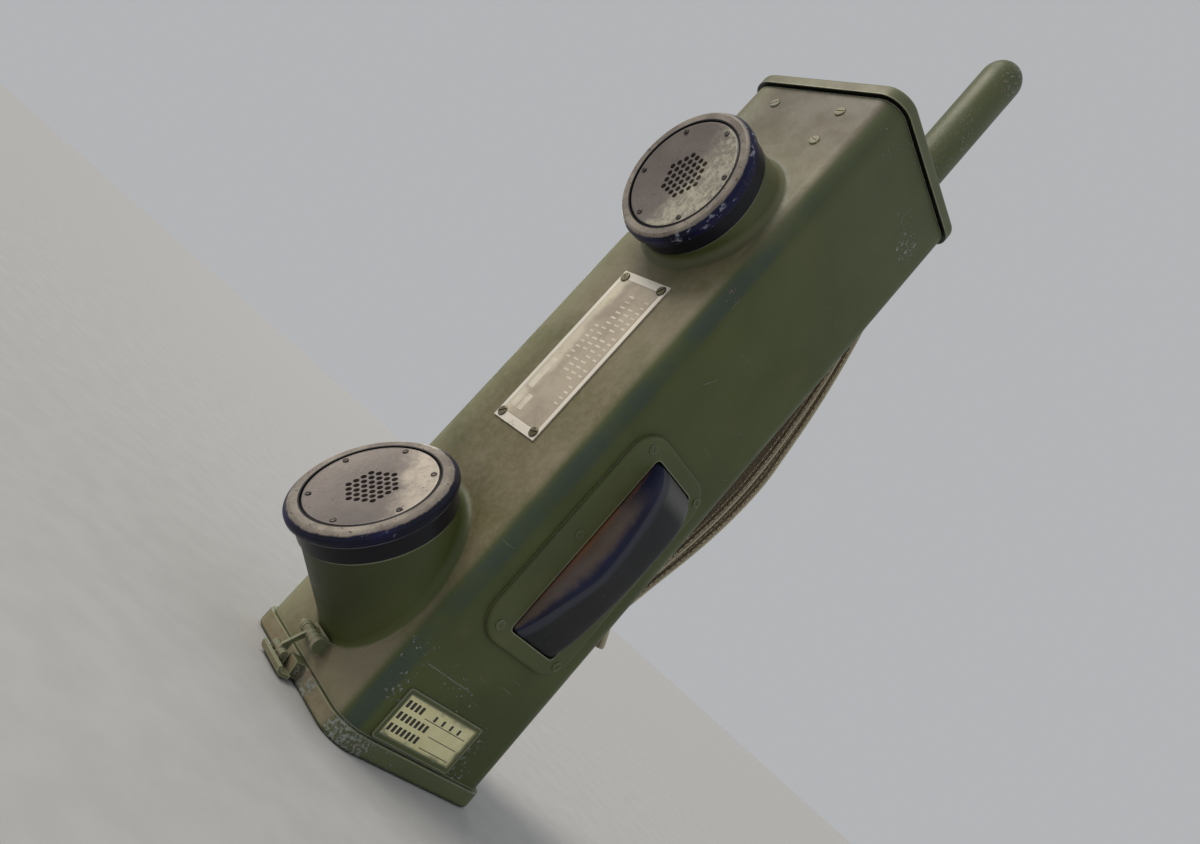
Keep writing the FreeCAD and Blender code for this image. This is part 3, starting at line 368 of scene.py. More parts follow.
def case_under_dust(s, colour, facing, film):
    """A dark green-blue strip of painted shade down the rounded front corner, a paler top, a paler patch
    round the ear stub and a painted shadow of its cap on the mouth stub.
    """
    up = s.along((0, 0, 1), (0, 0, SEAM))
    # Painted shade: a dark green-blue strip down the rounded front corner, weaker near the top.
    by_side = s.step(s.along((1, 0, 0), (SIDE, 0, 0)), -0.0100, -0.0065)
    corner_shade = s.times(s.step(facing, 0.15, 0.45), s.step(facing, 0.93, 0.75), by_side,
                   s.step(s.noise(24, 4), 0.25, 0.60))
    low_down = s.calc("SUBTRACT", 1.0, s.times(s.step(up, -0.0965, -0.0365), 0.7))
    colour = s.mix(s.times(s.step(up, -0.1165, -0.0265), 0.25), colour, OLIVE_FADED)
    colour = s.mix(s.times(corner_shade, low_down, 0.75), colour, (0.040, 0.066, 0.058))
    ear = s.near(middle_of("ear_ring") + Vector((0, 0.0050, 0.0040)), 0.048, 0.4)
    colour = s.mix(s.times(ear, s.step(facing, -0.2, 0.45), 0.6), colour, (0.150, 0.140, 0.085))
    # Painted shadow of the cap on the mouth stub.
    mouth = s.near(middle_of("mouth_ring") + Vector((-0.0040, 0.0072, -0.0194)), 0.046, 0.5)
    return s.mix(s.times(mouth, s.step(facing, 0.9, 0.6), 0.9), colour, (0.026, 0.034, 0.008))


def case_over_dust(s, colour, facing, film):
    """Painted shade on the top of the front, a green ring round the ear stub and painted shade on its fillet,
    a painted highlight along the far edge and a painted shadow along the top seam.
    """
    up = s.along((0, 0, 1), (0, 0, SEAM))
    # Painted shade: the top of the front darker.
    high = s.times(s.step(up, -0.0615, -0.0065), s.step(facing, 0.80, 0.98))
    colour = s.mix(s.times(high, 0.8), colour, (0.080, 0.066, 0.042))
    ear = middle_of("ear_ring")
    halo = s.times(s.near(ear + Vector((0, 0.0170, 0.0020)), 0.050, 0.5), s.step(facing, 0.5, 0.9))
    colour = s.mix(s.times(halo, 0.5), colour, (0.135, 0.138, 0.075))
    # Painted highlight along the far edge of the front, in the same patches as the front's tan.
    far_edge_highlight = s.times(s.step(s.along((1, 0, 0)), -0.020, -0.036), s.step(facing, 0.5, 0.9), film)
    colour = s.mix(s.times(far_edge_highlight, 0.5), colour, (0.28, 0.29, 0.17))
    # Painted shade on the fillet round the ear stub.
    root_shade = s.times(s.near(ear + Vector((0, 0.0170, 0.0030)), 0.046, 0.2), s.step(facing, 0.60, 0.85),
                   s.step(facing, 1.0, 0.985))
    colour = s.mix(s.times(root_shade, 0.65), colour, (0.080, 0.085, 0.040))
    # Painted shadow along the top seam, under the cover.
    return s.mix(s.step(up, -0.0009, -0.0005), colour, SHADOW)


def cover_over_crevice_shade(s, colour, facing, film):
    """Deep shadow on the cover's underside, inside its flange."""
    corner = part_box("top_cover")[1]
    inside = [s.step(s.calc("ABSOLUTE", s.along(axis)), reach - 0.0001, reach - 0.0005)
              for axis, reach in (((1, 0, 0), corner.x), ((0, 1, 0), corner.y))]
    underside = s.step(s.along((0, 0, 1), at=s.geometry.outputs["Normal"]), -0.5, -0.8)
    return s.mix(s.times(underside, *inside), colour, SHADOW)


STEEL = (0.46, 0.45, 0.42)
STEEL_DARK = (0.26, 0.24, 0.21)


def metal(name, colour, dark, rough=0.38, brushed=0.0):
    """Bare or plated metal, tarnished in patches, with painted shade in its corners."""
    s = Shader(name)
    patch = s.step(s.noise(140, 5, 0.65), 0.4, 0.65)
    # Painted shade where other surfaces stand close.
    crevice_shade = s.step(s.crevices(0.002), 0.85, 0.45)
    shade = s.mix(s.times(crevice_shade, 0.85), s.mix(patch, colour, dark), tuple(c * 0.15 for c in dark))
    lines = s.noise(1, 2, at=s.warp((3000, 160, 3000)))
    normal = s.bump(s.calc("ADD", s.times(lines, brushed), s.noise(900, 3)), 0.00003)
    return s.finish(shade, s.calc("ADD", s.times(patch, 0.2), rough),
                    s.calc("SUBTRACT", 1.0, s.times(crevice_shade, 0.6)), normal)


def plain(name, colour, other, rough=0.5, scale=120, depth=0.00004, metallic=0.0):
    """Moulded, dipped or printed stuff with a soft mottle, a fine grain and painted shade in its crevices."""
    s = Shader(name)
    shade = s.mix(s.step(s.noise(scale, 5), 0.35, 0.7), colour, other)
    # Painted shade in crevices.
    crevice_shade = s.step(s.crevices(0.003), 0.85, 0.45)
    shade = s.mix(s.times(crevice_shade, 0.5), shade, tuple(c * 0.25 for c in colour))
    normal = s.bump(s.noise(scale * 9, 3), depth)
    return s.finish(shade, s.calc("ADD", s.times(s.noise(scale * 2), 0.15), rough - 0.08), metallic, normal)


# For each cap: how far it leans back in degrees, how high its rim stands over the middle of its disc and how
# strong the painted highlight line at the lower edge of its flange is. Then the dusted patch on its disc,
# on the mouth disc also a painted reflection: the direction in which it lies, how far out it starts, its
# colour and how crusty it is.
CAPS = {"mouth": {"lean": 29.7, "rim": 0.0020, "lip": 0.25, "towards": (0.55, 0.83), "starts": 0.013,
                  "dust_and_light": (0.48, 0.42, 0.35), "crust": 0.35},
        "ear": {"lean": -10.6, "rim": 0.0019, "lip": 1.0, "towards": (0.95, -0.15), "starts": 0.004,
                "dust_and_light": (0.42, 0.40, 0.31), "crust": 0.75}}
DISC_COAT = (0.170, 0.142, 0.128)
GROOVE_RADIUS = 0.0277
DISC_RADIUS = 0.0272


def cap_axis(which):
    """The direction in which a cap faces, and the middle of its rim."""
    lean = math.radians(CAPS[which]["lean"])
    axis = Vector((0, -math.cos(lean), math.sin(lean)))
    return axis, middle_of(which + "_face") + axis * CAPS[which]["rim"]


def cap_moulding(which):
    """The dark moulded ring with its worn top, a painted highlight line at the lower edge of its flange and
    painted shade where ring and disc meet.
    """
    s = Shader(which + "_ring_moulding")
    axis, centre = cap_axis(which)
    height = s.along(axis, centre)
    wobble = s.times(s.calc("SUBTRACT", s.noise(160, 5, 0.7), 0.5), 0.0012)
    worn = s.step(s.calc("ADD", height, wobble), -0.0013, -0.0007)
    blue = s.mix(s.step(s.noise(45, 4), 0.35, 0.65), (0.0030, 0.0034, 0.014), (0.0060, 0.0070, 0.046))
    skirt = s.step(height, -0.0064, -0.0072)
    blue = s.mix(s.times(skirt, 0.85), blue, (0.0085, 0.0090, 0.0088))
    tan = s.mix(s.step(s.noise(75, 6, 0.7), 0.35, 0.7), (0.195, 0.168, 0.145), (0.355, 0.310, 0.260))
    specks = s.times(s.step(s.noise(300, 5, 0.7), 0.56, 0.60), s.step(s.noise(48, 3), 0.51, 0.57),
                     s.step(skirt, 1, 0.2), s.step(worn, 1.0, 0.3))
    rub = s.times(s.step(s.times(s.edges(0.0009), s.noise(190, 5, 0.7)), 0.05, 0.09),
                  s.step(s.noise(34, 3), 0.42, 0.56))
    colour = s.mix(worn, blue, tan)
    colour = s.mix(s.plus(s.times(specks, 0.8), s.times(rub, 0.3)), colour, (0.26, 0.28, 0.36))
    pits = s.step(s.noise(520, 3), 0.62, 0.66)
    colour = s.mix(s.times(pits, worn, 0.6), colour, (0.04, 0.035, 0.035))
    # Painted highlight: a pale line at the lower edge of the flange.
    lip = s.times(s.step(s.calc("ABSOLUTE", s.calc("ADD", height, 0.0068)), 0.00030, 0.00012),
                  s.step(s.noise(20, 3), 0.36, 0.50), CAPS[which]["lip"])
    colour = s.mix(lip, colour, (0.34, 0.34, 0.38))
    # Painted shade where ring and disc meet.
    groove_shade = s.plus(s.step(s.crevices(0.0022), 0.86, 0.55), s.ring(axis, centre, GROOVE_RADIUS, 0.00075))
    colour = s.mix(groove_shade, colour, (0.002, 0.002, 0.005))
    normal = s.bump(s.calc("SUBTRACT", s.noise(700, 3), s.times(specks, 2.0)), 0.00006)
    rough = s.calc("ADD", s.times(worn, 0.10), s.calc("ADD", s.times(s.noise(80), 0.15), 0.26))
    return s.finish(colour, rough, 0.0, normal, Specular_IOR_Level=0.22)


def disc_coat(which):
    """The coated disc inside a cap, scuffed and pitted, with a dusted patch on one side, on the mouth disc
    also a painted reflection, and painted shade round its rim.
    """
    cap = CAPS[which]
    s = Shader(which + "_face_coat")
    axis, centre = cap_axis(which)
    cloud = s.step(s.noise(38, 6, 0.7, twist=0.4), 0.38, 0.64)
    colour = s.mix(cloud, tuple(c * 0.86 for c in DISC_COAT), DISC_COAT)
    # The patch: dusted, and on the mouth disc also a painted reflection.
    ragged = s.times(s.calc("SUBTRACT", s.noise(120, 6, 0.7), 0.5), 0.018)
    sideways, upwards = cap["towards"]
    across = s.along((sideways, upwards * axis.z, -upwards * axis.y), centre)
    crust = s.step(s.calc("ADD", across, ragged), cap["starts"] - 0.006, cap["starts"] + 0.006)
    mottle = s.step(s.noise(230, 6, 0.8), 0.40, 0.58)
    patch = s.times(crust, s.calc("ADD", s.times(mottle, cap["crust"]), 1.0 - cap["crust"]))
    colour = s.mix(patch, colour, cap["dust_and_light"])
    streak = s.noise(1, 2, at=s.warp((60, 60, 1600), (25, 0, 30)))
    marks = s.times(s.step(streak, 0.68, 0.73), s.step(s.noise(50, 2), 0.50, 0.58))
    colour = s.mix(s.times(marks, 0.5), colour, (0.06, 0.055, 0.052))
    pits = s.times(s.step(s.noise(640, 3), 0.63, 0.67), s.step(s.noise(70, 3), 0.48, 0.58))
    colour = s.mix(s.times(pits, 0.75), colour, (0.035, 0.030, 0.032))
    # Painted shade round the rim of the disc.
    rim = s.plus(s.step(s.crevices(0.0016), 0.80, 0.45), s.ring(axis, centre, DISC_RADIUS, 0.0006))
    colour = s.mix(rim, colour, (0.003, 0.003, 0.005))
    normal = s.bump(s.calc("ADD", s.noise(800, 3), s.times(s.noise(90, 4), 1.5)), 0.00006)
    rough = s.calc("ADD", s.times(cloud, 0.10), s.calc("ADD", s.times(crust, 0.10), 0.30))
    return s.finish(colour, rough, 0.2, normal)


def rubber_boot():
    """Dark moulded rubber, charcoal behind the crest, with painted light and shade: warmly lit on the front
    slope, a reddish reflection where that slope meets the plate, blue shade under the crest, a bluish grey
    highlight along the crest and a highlight on the sloping top end.

    The mesh's UVs hold how far back a point lies: 0 to 0.5 up to the crest, 0.5 to 1 behind it.
    """
    s = Shader("boot_rubber_with_painted_light")
    uv = s.tree.nodes.new("ShaderNodeTexCoord").outputs["UV"]
    back = s.along((1, 0, 0), at=uv)
    up = s.along((0, 0, 1), (0, 0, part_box("talk_boot")[0].z))
    cloud = s.noise(60, 5, 0.6)
    drift = s.calc("SUBTRACT", s.noise(42, 6, 0.7), 0.5)
    colour = s.mix(s.step(cloud, 0.35, 0.7), (0.0120, 0.0130, 0.0145), (0.019, 0.020, 0.023))
    # Painted shade: blue on the front slope, under the crest.
    blue = s.mix(s.step(s.noise(35, 3), 0.35, 0.65), (0.0060, 0.0075, 0.027), (0.011, 0.015, 0.055))
    colour = s.mix(s.step(back, 0.52, 0.46), colour, blue)
    # Painted highlight: bluish grey along the crest.
    crest_highlight = s.times(s.step(back, 0.47, 0.51), s.step(s.calc("ADD", back, s.times(drift, 0.10)), 0.62, 0.54))
    colour = s.mix(s.times(crest_highlight, 0.8), colour, (0.046, 0.050, 0.074))
    top_end = s.step(up, 0.076, 0.084)
    # Painted light: the front slope warmly lit.
    lit_flank = s.times(s.step(s.calc("ADD", back, s.times(drift, 0.35)), 0.40, 0.18), s.step(up, 0.082, 0.060))
    warm_light = s.mix(s.step(s.noise(26, 4), 0.36, 0.62), (0.120, 0.078, 0.050), (0.150, 0.115, 0.098))
    colour = s.mix(s.times(lit_flank, 0.92), colour, warm_light)
    # Painted reflection: reddish where the front slope meets the plate.
    foot_reflection = s.times(s.step(s.calc("ADD", back, s.times(drift, 0.12)), 0.12, 0.03),
                   s.step(s.noise(60, 3), 0.30, 0.50))
    colour = s.mix(s.times(foot_reflection, 0.75), colour, (0.260, 0.105, 0.034))
    # Painted highlight on the sloping top end.
    facet_highlight = s.times(top_end, s.step(back, 0.55, 0.62))
    colour = s.mix(s.times(facet_highlight, 0.8), colour, (0.120, 0.122, 0.112))
    rub = s.times(s.step(s.noise(240, 4, 0.65), 0.62, 0.67), s.step(s.noise(48, 3), 0.52, 0.60))
    colour = s.mix(s.times(rub, 0.4), colour, (0.09, 0.085, 0.085))
    # Painted shade in crevices.
    colour = s.mix(s.step(s.crevices(0.002), 0.7, 0.3), colour, (0.004, 0.004, 0.006))
    normal = s.bump(s.calc("ADD", s.noise(900, 3), s.times(s.noise(70, 4), 2.0)), 0.00007)
    return s.finish(colour, s.calc("ADD", s.times(cloud, 0.2), 0.40), 0.0, normal, Specular_IOR_Level=0.3)


def webbing_material(name, light, dark):
    """Woven cotton webbing. The mesh's UVs run across and along the strip, in metres."""
    s = Shader(name)
    uv = s.tree.nodes.new("ShaderNodeTexCoord").outputs["UV"]
    ribs = s.add("TexWave", "Fac", {"wave_type": "BANDS", "bands_direction": "X"}, Vector=uv, Scale=260.0,
                 Distortion=0.6, Detail=2.0, Detail_Scale=2.0)
    picks = s.add("TexWave", "Fac", {"wave_type": "BANDS", "bands_direction": "Y"}, Vector=uv, Scale=340.0,
                  Distortion=0.8, Detail=2.0, Detail_Scale=2.0)
    weave = s.times(ribs, picks)
    fade = s.step(s.noise(32, 5, 0.6), 0.3, 0.72)
    colour = s.mix(fade, dark, light)
    colour = s.mix(s.times(s.step(weave, 0.55, 0.1), 0.75), colour, tuple(c * 0.42 for c in dark))
    edge = s.calc("ABSOLUTE", s.along((1, 0, 0), at=uv))
    seam = s.step(s.calc("ABSOLUTE", s.calc("SUBTRACT", edge, 0.0174)), 0.0008, 0.0004)
    selvedge = s.plus(s.times(s.step(edge, 0.0196, 0.0204), 0.7), s.times(seam, s.step(picks, 0.3, 0.6), 0.7))
    colour = s.mix(selvedge, colour, (0.80, 0.72, 0.52))
    # Painted shade in crevices.
    colour = s.mix(s.step(s.crevices(0.004), 0.8, 0.35), colour, (0.02, 0.014, 0.010))
    fuzz = s.noise(1400, 3)
    normal = s.bump(s.calc("ADD", s.times(weave, 1.0), s.times(fuzz, 0.4)), 0.0003)
    s.bsdf.inputs["Sheen Weight"].default_value = 0.25
    s.bsdf.inputs["Sheen Roughness"].default_value = 0.5
    return s.finish(colour, 0.85, 0.0, normal)


def nameplate_material():
    """Satin aluminium: a bright rubbed margin round a duller field that is polished in patches, and a painted
    reflection along one long side.
    """
    s = Shader("nameplate_aluminium")
    lower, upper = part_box("nameplate")
    middle, half = (lower + upper) / 2, (upper - lower) / 2
    border = Vector((half.x - 0.0024, 0, half.z - 0.0042))
    cloud = s.step(s.noise(42, 6, 0.65), 0.38, 0.62)
    colour = s.mix(cloud, (0.36, 0.305, 0.235), (0.46, 0.40, 0.31))
    # Painted reflection: brighter along one long side.
    drift = s.times(s.calc("SUBTRACT", s.noise(34, 5, 0.6), 0.5), 0.030)
    bright = s.step(s.calc("ADD", s.along((-1, 0, 0), middle), drift), 0.0050, 0.0120)
    colour = s.mix(s.times(bright, 0.8), colour, (0.70, 0.64, 0.50))
    side = s.calc("ABSOLUTE", s.along((1, 0, 0), middle))
    end = s.calc("ABSOLUTE", s.along((0, 0, 1), middle))
    margin = s.plus(s.step(side, border.x, border.x + 0.0003), s.step(end, border.z, border.z + 0.0003))
    colour = s.mix(s.times(margin, 0.85), colour, (0.80, 0.75, 0.66))
    rule = s.calc("MAXIMUM", s.calc("SUBTRACT", side, border.x), s.calc("SUBTRACT", end, border.z))
    line = s.step(s.calc("ABSOLUTE", rule), 0.00022, 0.00008)
    colour = s.mix(s.times(line, 0.55), colour, (0.16, 0.14, 0.11))
    stain = s.times(s.step(s.noise(130, 5, 0.7), 0.60, 0.70), 0.4)
    colour = s.mix(stain, colour, (0.28, 0.24, 0.18))
    # Painted shade in crevices.
    colour = s.mix(s.step(s.crevices(0.0012), 0.7, 0.3), colour, (0.03, 0.028, 0.02))
    normal = s.bump(s.calc("ADD", s.noise(900, 3), s.times(margin, 1.2)), 0.00005)
    return s.finish(colour, s.calc("ADD", s.times(cloud, 0.12), 0.36), 0.25, normal)


def card_material():
    """Yellowed card behind a clear coat, stained towards its edges."""
    s = Shader("label_card_paper")
    lower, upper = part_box("card")
    middle, half = (lower + upper) / 2, (upper - lower) / 2
    side = s.calc("ABSOLUTE", s.along((0, 1, 0), middle))
    end = s.calc("ABSOLUTE", s.along((0, 0, 1), middle))
    cloud = s.noise(90, 5, 0.65)
    rim = s.plus(s.step(side, half.y - 0.0030, half.y), s.step(end, half.z - 0.0028, half.z))
    colour = s.mix(s.step(cloud, 0.3, 0.7), (0.80, 0.74, 0.38), (0.92, 0.88, 0.52))
    colour = s.mix(s.times(rim, s.step(cloud, 0.44, 0.62), 0.75), colour, (0.24, 0.23, 0.11))
    fibres = s.noise(1, 3, at=s.warp((200, 1800, 500)))
    normal = s.bump(fibres, 0.00003)
    s.bsdf.inputs["Coat Weight"].default_value = 0.4
    s.bsdf.inputs["Coat Roughness"].default_value = 0.25
    return s.finish(colour, 0.5, 0.0, normal)


def tube_glass():
    """Clear bulb with a silvered top."""
    s = Shader("tube_glass_bulb")
    silver = s.step(s.noise(40, 2), 0.5, 0.6)
    colour = s.mix(silver, (0.80, 0.84, 0.84), (0.55, 0.55, 0.56))
    s.bsdf.inputs["Transmission Weight"].default_value = 0.85
    s.bsdf.inputs["IOR"].default_value = 1.48
    return s.finish(colour, s.calc("ADD", s.times(s.noise(60), 0.1), 0.03), s.times(silver, 0.8))


def set_material(material, *names):
    """Give nodes one material in place of what they came with."""
    for name in names:
        mesh = NODES[name].data
        mesh.materials.clear()
        mesh.materials.append(material)
        for polygon in mesh.polygons:
            polygon.material_index = 0


def on_side(node, back, up):
    """A place on the side with the talk lever, so far to the back of a node's middle and so far above it."""
    middle = middle_of(node)
    return SIDE, middle.y + back, middle.z + up


def paint_case():
    """The case, with flakes round the card, below the top seam and under the mouth stub."""
    top_front, mid_front = on_side("top_gasket", -0.0440, -0.0199), on_side("talk_plate", -0.0416, 0.1153)
    zones = [(on_side("card", -0.0281, 0.0089), 0.009, 1.1), (on_side("card", -0.0031, 0.0169), 0.016, 0.7),
             (on_side("card", 0.0229, 0.0049), 0.012, 1.0), (on_side("card", -0.0331, 0.0239), 0.012, 0.8),
             (on_side("card", 0.0269, -0.0111), 0.012, 1.0),
             (on_side("top_gasket", 0.0220, -0.0229), 0.012, 1.3),
             (on_side("top_gasket", 0.0060, -0.0189), 0.010, 0.9),
             (top_front, 0.006, 1.3), (mid_front, 0.006, 1.0),
             (middle_of("mouth_ring") + Vector((-0.0100, -0.0138, -0.0194)), 0.014, 1.0)]
    strokes = [(on_side("card", -0.0268, 0.0217), on_side("card", 0.0045, 0.0212), 0.00030),
               (on_side("card", -0.0394, 0.0071), on_side("card", -0.0297, 0.0089), 0.00040),
               (on_side("card", -0.0371, 0.0219), on_side("card", -0.0351, 0.0309), 0.00040),
               (on_side("talk_plate", -0.0369, 0.1164), on_side("talk_plate", -0.0366, 0.1109), 0.00025),
               (on_side("talk_plate", -0.0206, 0.0813), on_side("talk_plate", -0.0156, 0.0883), 0.00015)]
    enamel = olive_paint("case_enamel", 0, 0.8, zones, pink=[(top_front, 0.01), (mid_front, 0.01)],
                         strokes=strokes, under_dust=case_under_dust, over_dust=case_over_dust)
    set_material(enamel, "case_shell")


def paint_covers():
    """The top cover, the lid and the aerial's cap."""
    enamel = olive_paint("cover_enamel", 1, 1.0, dust_and_light=0.45, fade=0.7, crevice_shade_amount=0.2, over_crevice_shade=cover_over_crevice_shade)
    set_material(enamel, "top_cover")
    lower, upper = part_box("battery_lid")
    zones = [((upper.x - 0.0014, lower.y + 0.0119, 0.005), 0.014, 2.0),
             ((0.014, lower.y + 0.0039, 0.006), 0.010, 1.8),
             ((upper.x - 0.0004, lower.y + 0.0309, 0.004), 0.014, 0.8)]
    set_material(olive_paint("lid_enamel", 2, 1.4, zones, 0.75, 0.85, 0.4), "battery_lid")
    middle = middle_of("aerial_cap")
    zones = [(middle + Vector((0.014, 0, -0.016)), 0.034, 0.8),
             (middle + Vector((0.014, 0, 0.039)), 0.022, 1.1)]
    set_material(olive_paint("aerial_cap_enamel", 3, 1.2, zones, 0.65, 0.1, 0.35), "aerial_cap")


def paint_nodes():
    """Every carried-over node gets its own material."""
    paint_case()
    paint_covers()
    set_material(olive_paint("talk_plate_enamel", 4, 0.9, dust_and_light=0.0, fade=0.15), "talk_plate")
    set_material(olive_paint("talk_screw_enamel", 8, 0.4, dust_and_light=0.0, fade=0.1, crevice_shade_amount=0.8, rub=0.25),
                 "talk_plate_screws")
    set_material(olive_paint("fittings_enamel", 5, 1.6, dust_and_light=0.9, fade=0.95), "latch_bracket", "latch_link",
                 "latch_lever", "lid_hinge_leaf", "strap_bracket_upper", "strap_bracket_lower",
                 "strap_bracket_screws")
    frame_zones = [(on_side("card", 0.0169, 0.0009), 0.02, 0.7)]
    set_material(olive_paint("card_frame_enamel", 7, 1.3, frame_zones, fade=0.15), "card_frame")
    set_material(olive_paint("screw_enamel", 6, 1.6, dust_and_light=0.6, fade=0.5, crevice_shade_amount=0.15), "cover_screws")
    for which in CAPS:
        set_material(cap_moulding(which), which + "_ring")
        set_material(disc_coat(which), which + "_face")
    set_material(metal("screw_steel", (0.13, 0.12, 0.11), (0.05, 0.045, 0.045)), "mouth_face_screws",
                 "ear_face_screws")
    set_material(metal("plate_screw_brass", (0.22, 0.20, 0.13), (0.09, 0.085, 0.05)), "nameplate_screws")
    steel = metal("dull_steel", STEEL, STEEL_DARK, 0.36, 0.6)
    set_material(steel, "talk_bracket", "talk_lever", "talk_pivot_pin", "talk_plunger", "talk_spring",
                 "lid_hinge_pin", "latch_pin", "latch_eye_pin", "chassis_frame")
    set_material(metal("contact_brass", (0.58, 0.43, 0.18), (0.33, 0.24, 0.12), 0.34, 0.5),
                 "lid_contact_springs")
    set_material(metal("nickelled_tube", (0.62, 0.58, 0.48), (0.42, 0.36, 0.24), 0.22, 0.3),
                 "aerial_section_1", "aerial_section_2", "aerial_section_3", "aerial_section_4")
    set_material(metal("capsule_shell", (0.42, 0.42, 0.42), (0.28, 0.28, 0.29), 0.4), "microphone_capsule",
                 "earphone_capsule")
    set_material(metal("spun_can", (0.60, 0.60, 0.60), (0.44, 0.44, 0.44), 0.34, 0.5), "tuning_cans")
    set_material(plain("seal_rubber", (0.018, 0.018, 0.018), (0.035, 0.034, 0.032), 0.7), "top_gasket",
                 "lid_gasket", "mouth_gasket", "ear_gasket")
    set_material(plain("brown_phenolic", (0.085, 0.042, 0.022), (0.12, 0.065, 0.032), 0.4), "talk_switch",
                 "aerial_collar", "aerial_guide", "tube_sockets", "crystal_holders")
    set_material(plain("waxed_winding", (0.33, 0.17, 0.08), (0.22, 0.11, 0.05), 0.45, 300), "tank_coil")
    set_material(plain("varnished_iron", (0.045, 0.040, 0.036), (0.08, 0.06, 0.045), 0.42, 200),
                 "audio_transformer")
    set_material(plain("waxed_card", (0.26, 0.17, 0.09), (0.19, 0.12, 0.07), 0.6, 80), "high_voltage_battery",
                 "filament_battery")
    set_material(nameplate_material(), "nameplate")
    set_material(card_material(), "card")
    set_material(tube_glass(), "vacuum_tubes")


# ---- mesh building

def new_piece(name, bm, material, body, smooth=True):
    """An object made of that bmesh, riding on a CAD body and finished as a material slot."""
    mesh = bpy.data.meshes.new(name)
    bmesh.ops.recalc_face_normals(bm, faces=bm.faces)
    bm.to_mesh(mesh)
    bm.free()
    piece = bpy.data.objects.new(name, mesh)
    bpy.context.collection.objects.link(piece)
    mesh.materials.append(material)
    for polygon in mesh.polygons:
        polygon.use_smooth = smooth
    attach(piece, body)
    return piece


def apply_modifiers(piece):
    """Bake the modifiers into the piece's own mesh."""
    graph = bpy.context.evaluated_depsgraph_get()
    mesh = bpy.data.meshes.new_from_object(piece.evaluated_get(graph))
    piece.modifiers.clear()
    piece.data = mesh


def subdivide(piece, levels):
    """Round a piece off by subdivision."""
    modifier = piece.modifiers.new("subdivision", "SUBSURF")
    modifier.levels = modifier.render_levels = levels
    apply_modifiers(piece)


def loft(rings, places):
    """A closed tube through rings of points, with UVs from places, one pair for each point of each ring."""
    bm = bmesh.new()
    uv_layer = bm.loops.layers.uv.new("UVMap")
    loops = [[bm.verts.new(p) for p in ring] for ring in rings]
    uvs = {}
    for loop, row in zip(loops, places):
        uvs.update(zip(loop, row))
    count = len(rings[0])
    for a, b in zip(loops, loops[1:]):
        for i in range(count):
            j = (i + 1) % count
            bm.faces.new((a[i], a[j], b[j], b[i]))
    bm.faces.new(loops[0])
    bm.faces.new(loops[-1][::-1])
    for face in bm.faces:
        for corner in face.loops:
            corner[uv_layer].uv = uvs[corner.vert]
    return bm


def smooth_curve(knots, t):
    """The value at t of a smooth line through (position, value) knots."""
    for i in range(len(knots) - 1):
        if knots[i][0] <= t <= knots[i + 1][0]:
            break
    (t0, v0), (t1, v1) = knots[i], knots[i + 1]
    before = knots[max(i - 1, 0)]
    after = knots[min(i + 2, len(knots) - 1)]
    u = (t - t0) / (t1 - t0)
    m0 = (v1 - before[1]) / (t1 - before[0]) * (t1 - t0)
    m1 = (after[1] - v0) / (after[0] - t0) * (t1 - t0)
    return ((2 * u ** 3 - 3 * u ** 2 + 1) * v0 + (u ** 3 - 2 * u ** 2 + u) * m0
            + (3 * u ** 2 - 2 * u ** 3) * v1 + (u ** 3 - u ** 2) * m1)


# (share of the boot's length, value) knots of two smooth lines, which make_boot explains.
BOOT_RISE = ((0.0, 0.0026), (0.03, 0.0046), (0.14, 0.0088), (0.35, 0.0126), (0.56, 0.0144), (0.70, 0.0147),
             (0.79, 0.0146), (0.87, 0.0132), (0.94, 0.0098), (0.985, 0.0058), (1.0, 0.0036))
BOOT_CREST = ((0.0, 0.05), (0.2, 0.11), (0.42, 0.25), (0.62, 0.19), (0.82, 0.08), (1.0, 0.07))
BOOT_RINGS = 40


def make_boot():
    """The rubber cover of the talk lever: a crest near the front edge, a long ramp, a steep upper end.

    Along the boot, BOOT_RISE says how far it stands out of the plate and BOOT_CREST how far back its crest
    lies, as a share of its width. A section holds (share of the width, share of the rise) for each point, and
    a share of the rise below 0 lies inside the case.
    """
    lower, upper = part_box("talk_boot")
    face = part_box("talk_plate")[1].x - 0.0025
    gap = Vector((0, 0.0003, 0.0009))
    lower, upper = lower - gap, upper + gap
    size = upper - lower
    rings, places = [], []
    for k in range(BOOT_RINGS + 1):
        along = k / BOOT_RINGS
        rise = smooth_curve(BOOT_RISE, along)
        crest = smooth_curve(BOOT_CREST, along)
        section = ((0, -1), (0, 0), (0.25 * crest, 0.42), (0.60 * crest, 0.78), (0.88 * crest, 0.95),
                   (crest, 1), (crest + 0.07, 1), (crest + (0.80 - crest) * 0.5, 0.975), (0.80, 0.945),
                   (0.90, 0.90), (0.965, 0.78), (0.995, 0.45), (1, 0), (1, -1))
        ring, row = [], []
        for back, out in section:
            x = face + out * (rise if out > 0 else face - lower.x)
            ring.append((x, lower.y + back * size.y, lower.z + along * size.z))
            shade = 0.5 * back / crest if back <= crest else 0.5 + 0.5 * (back - crest) / (1 - crest)
            row.append((shade, max(out, 0)))
        rings.append(ring)
        places.append(row)
    boot = new_piece("talk_boot_cover", loft(rings, places), rubber_boot(), "talk")
    subdivide(boot, 2)
    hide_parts("talk_boot")


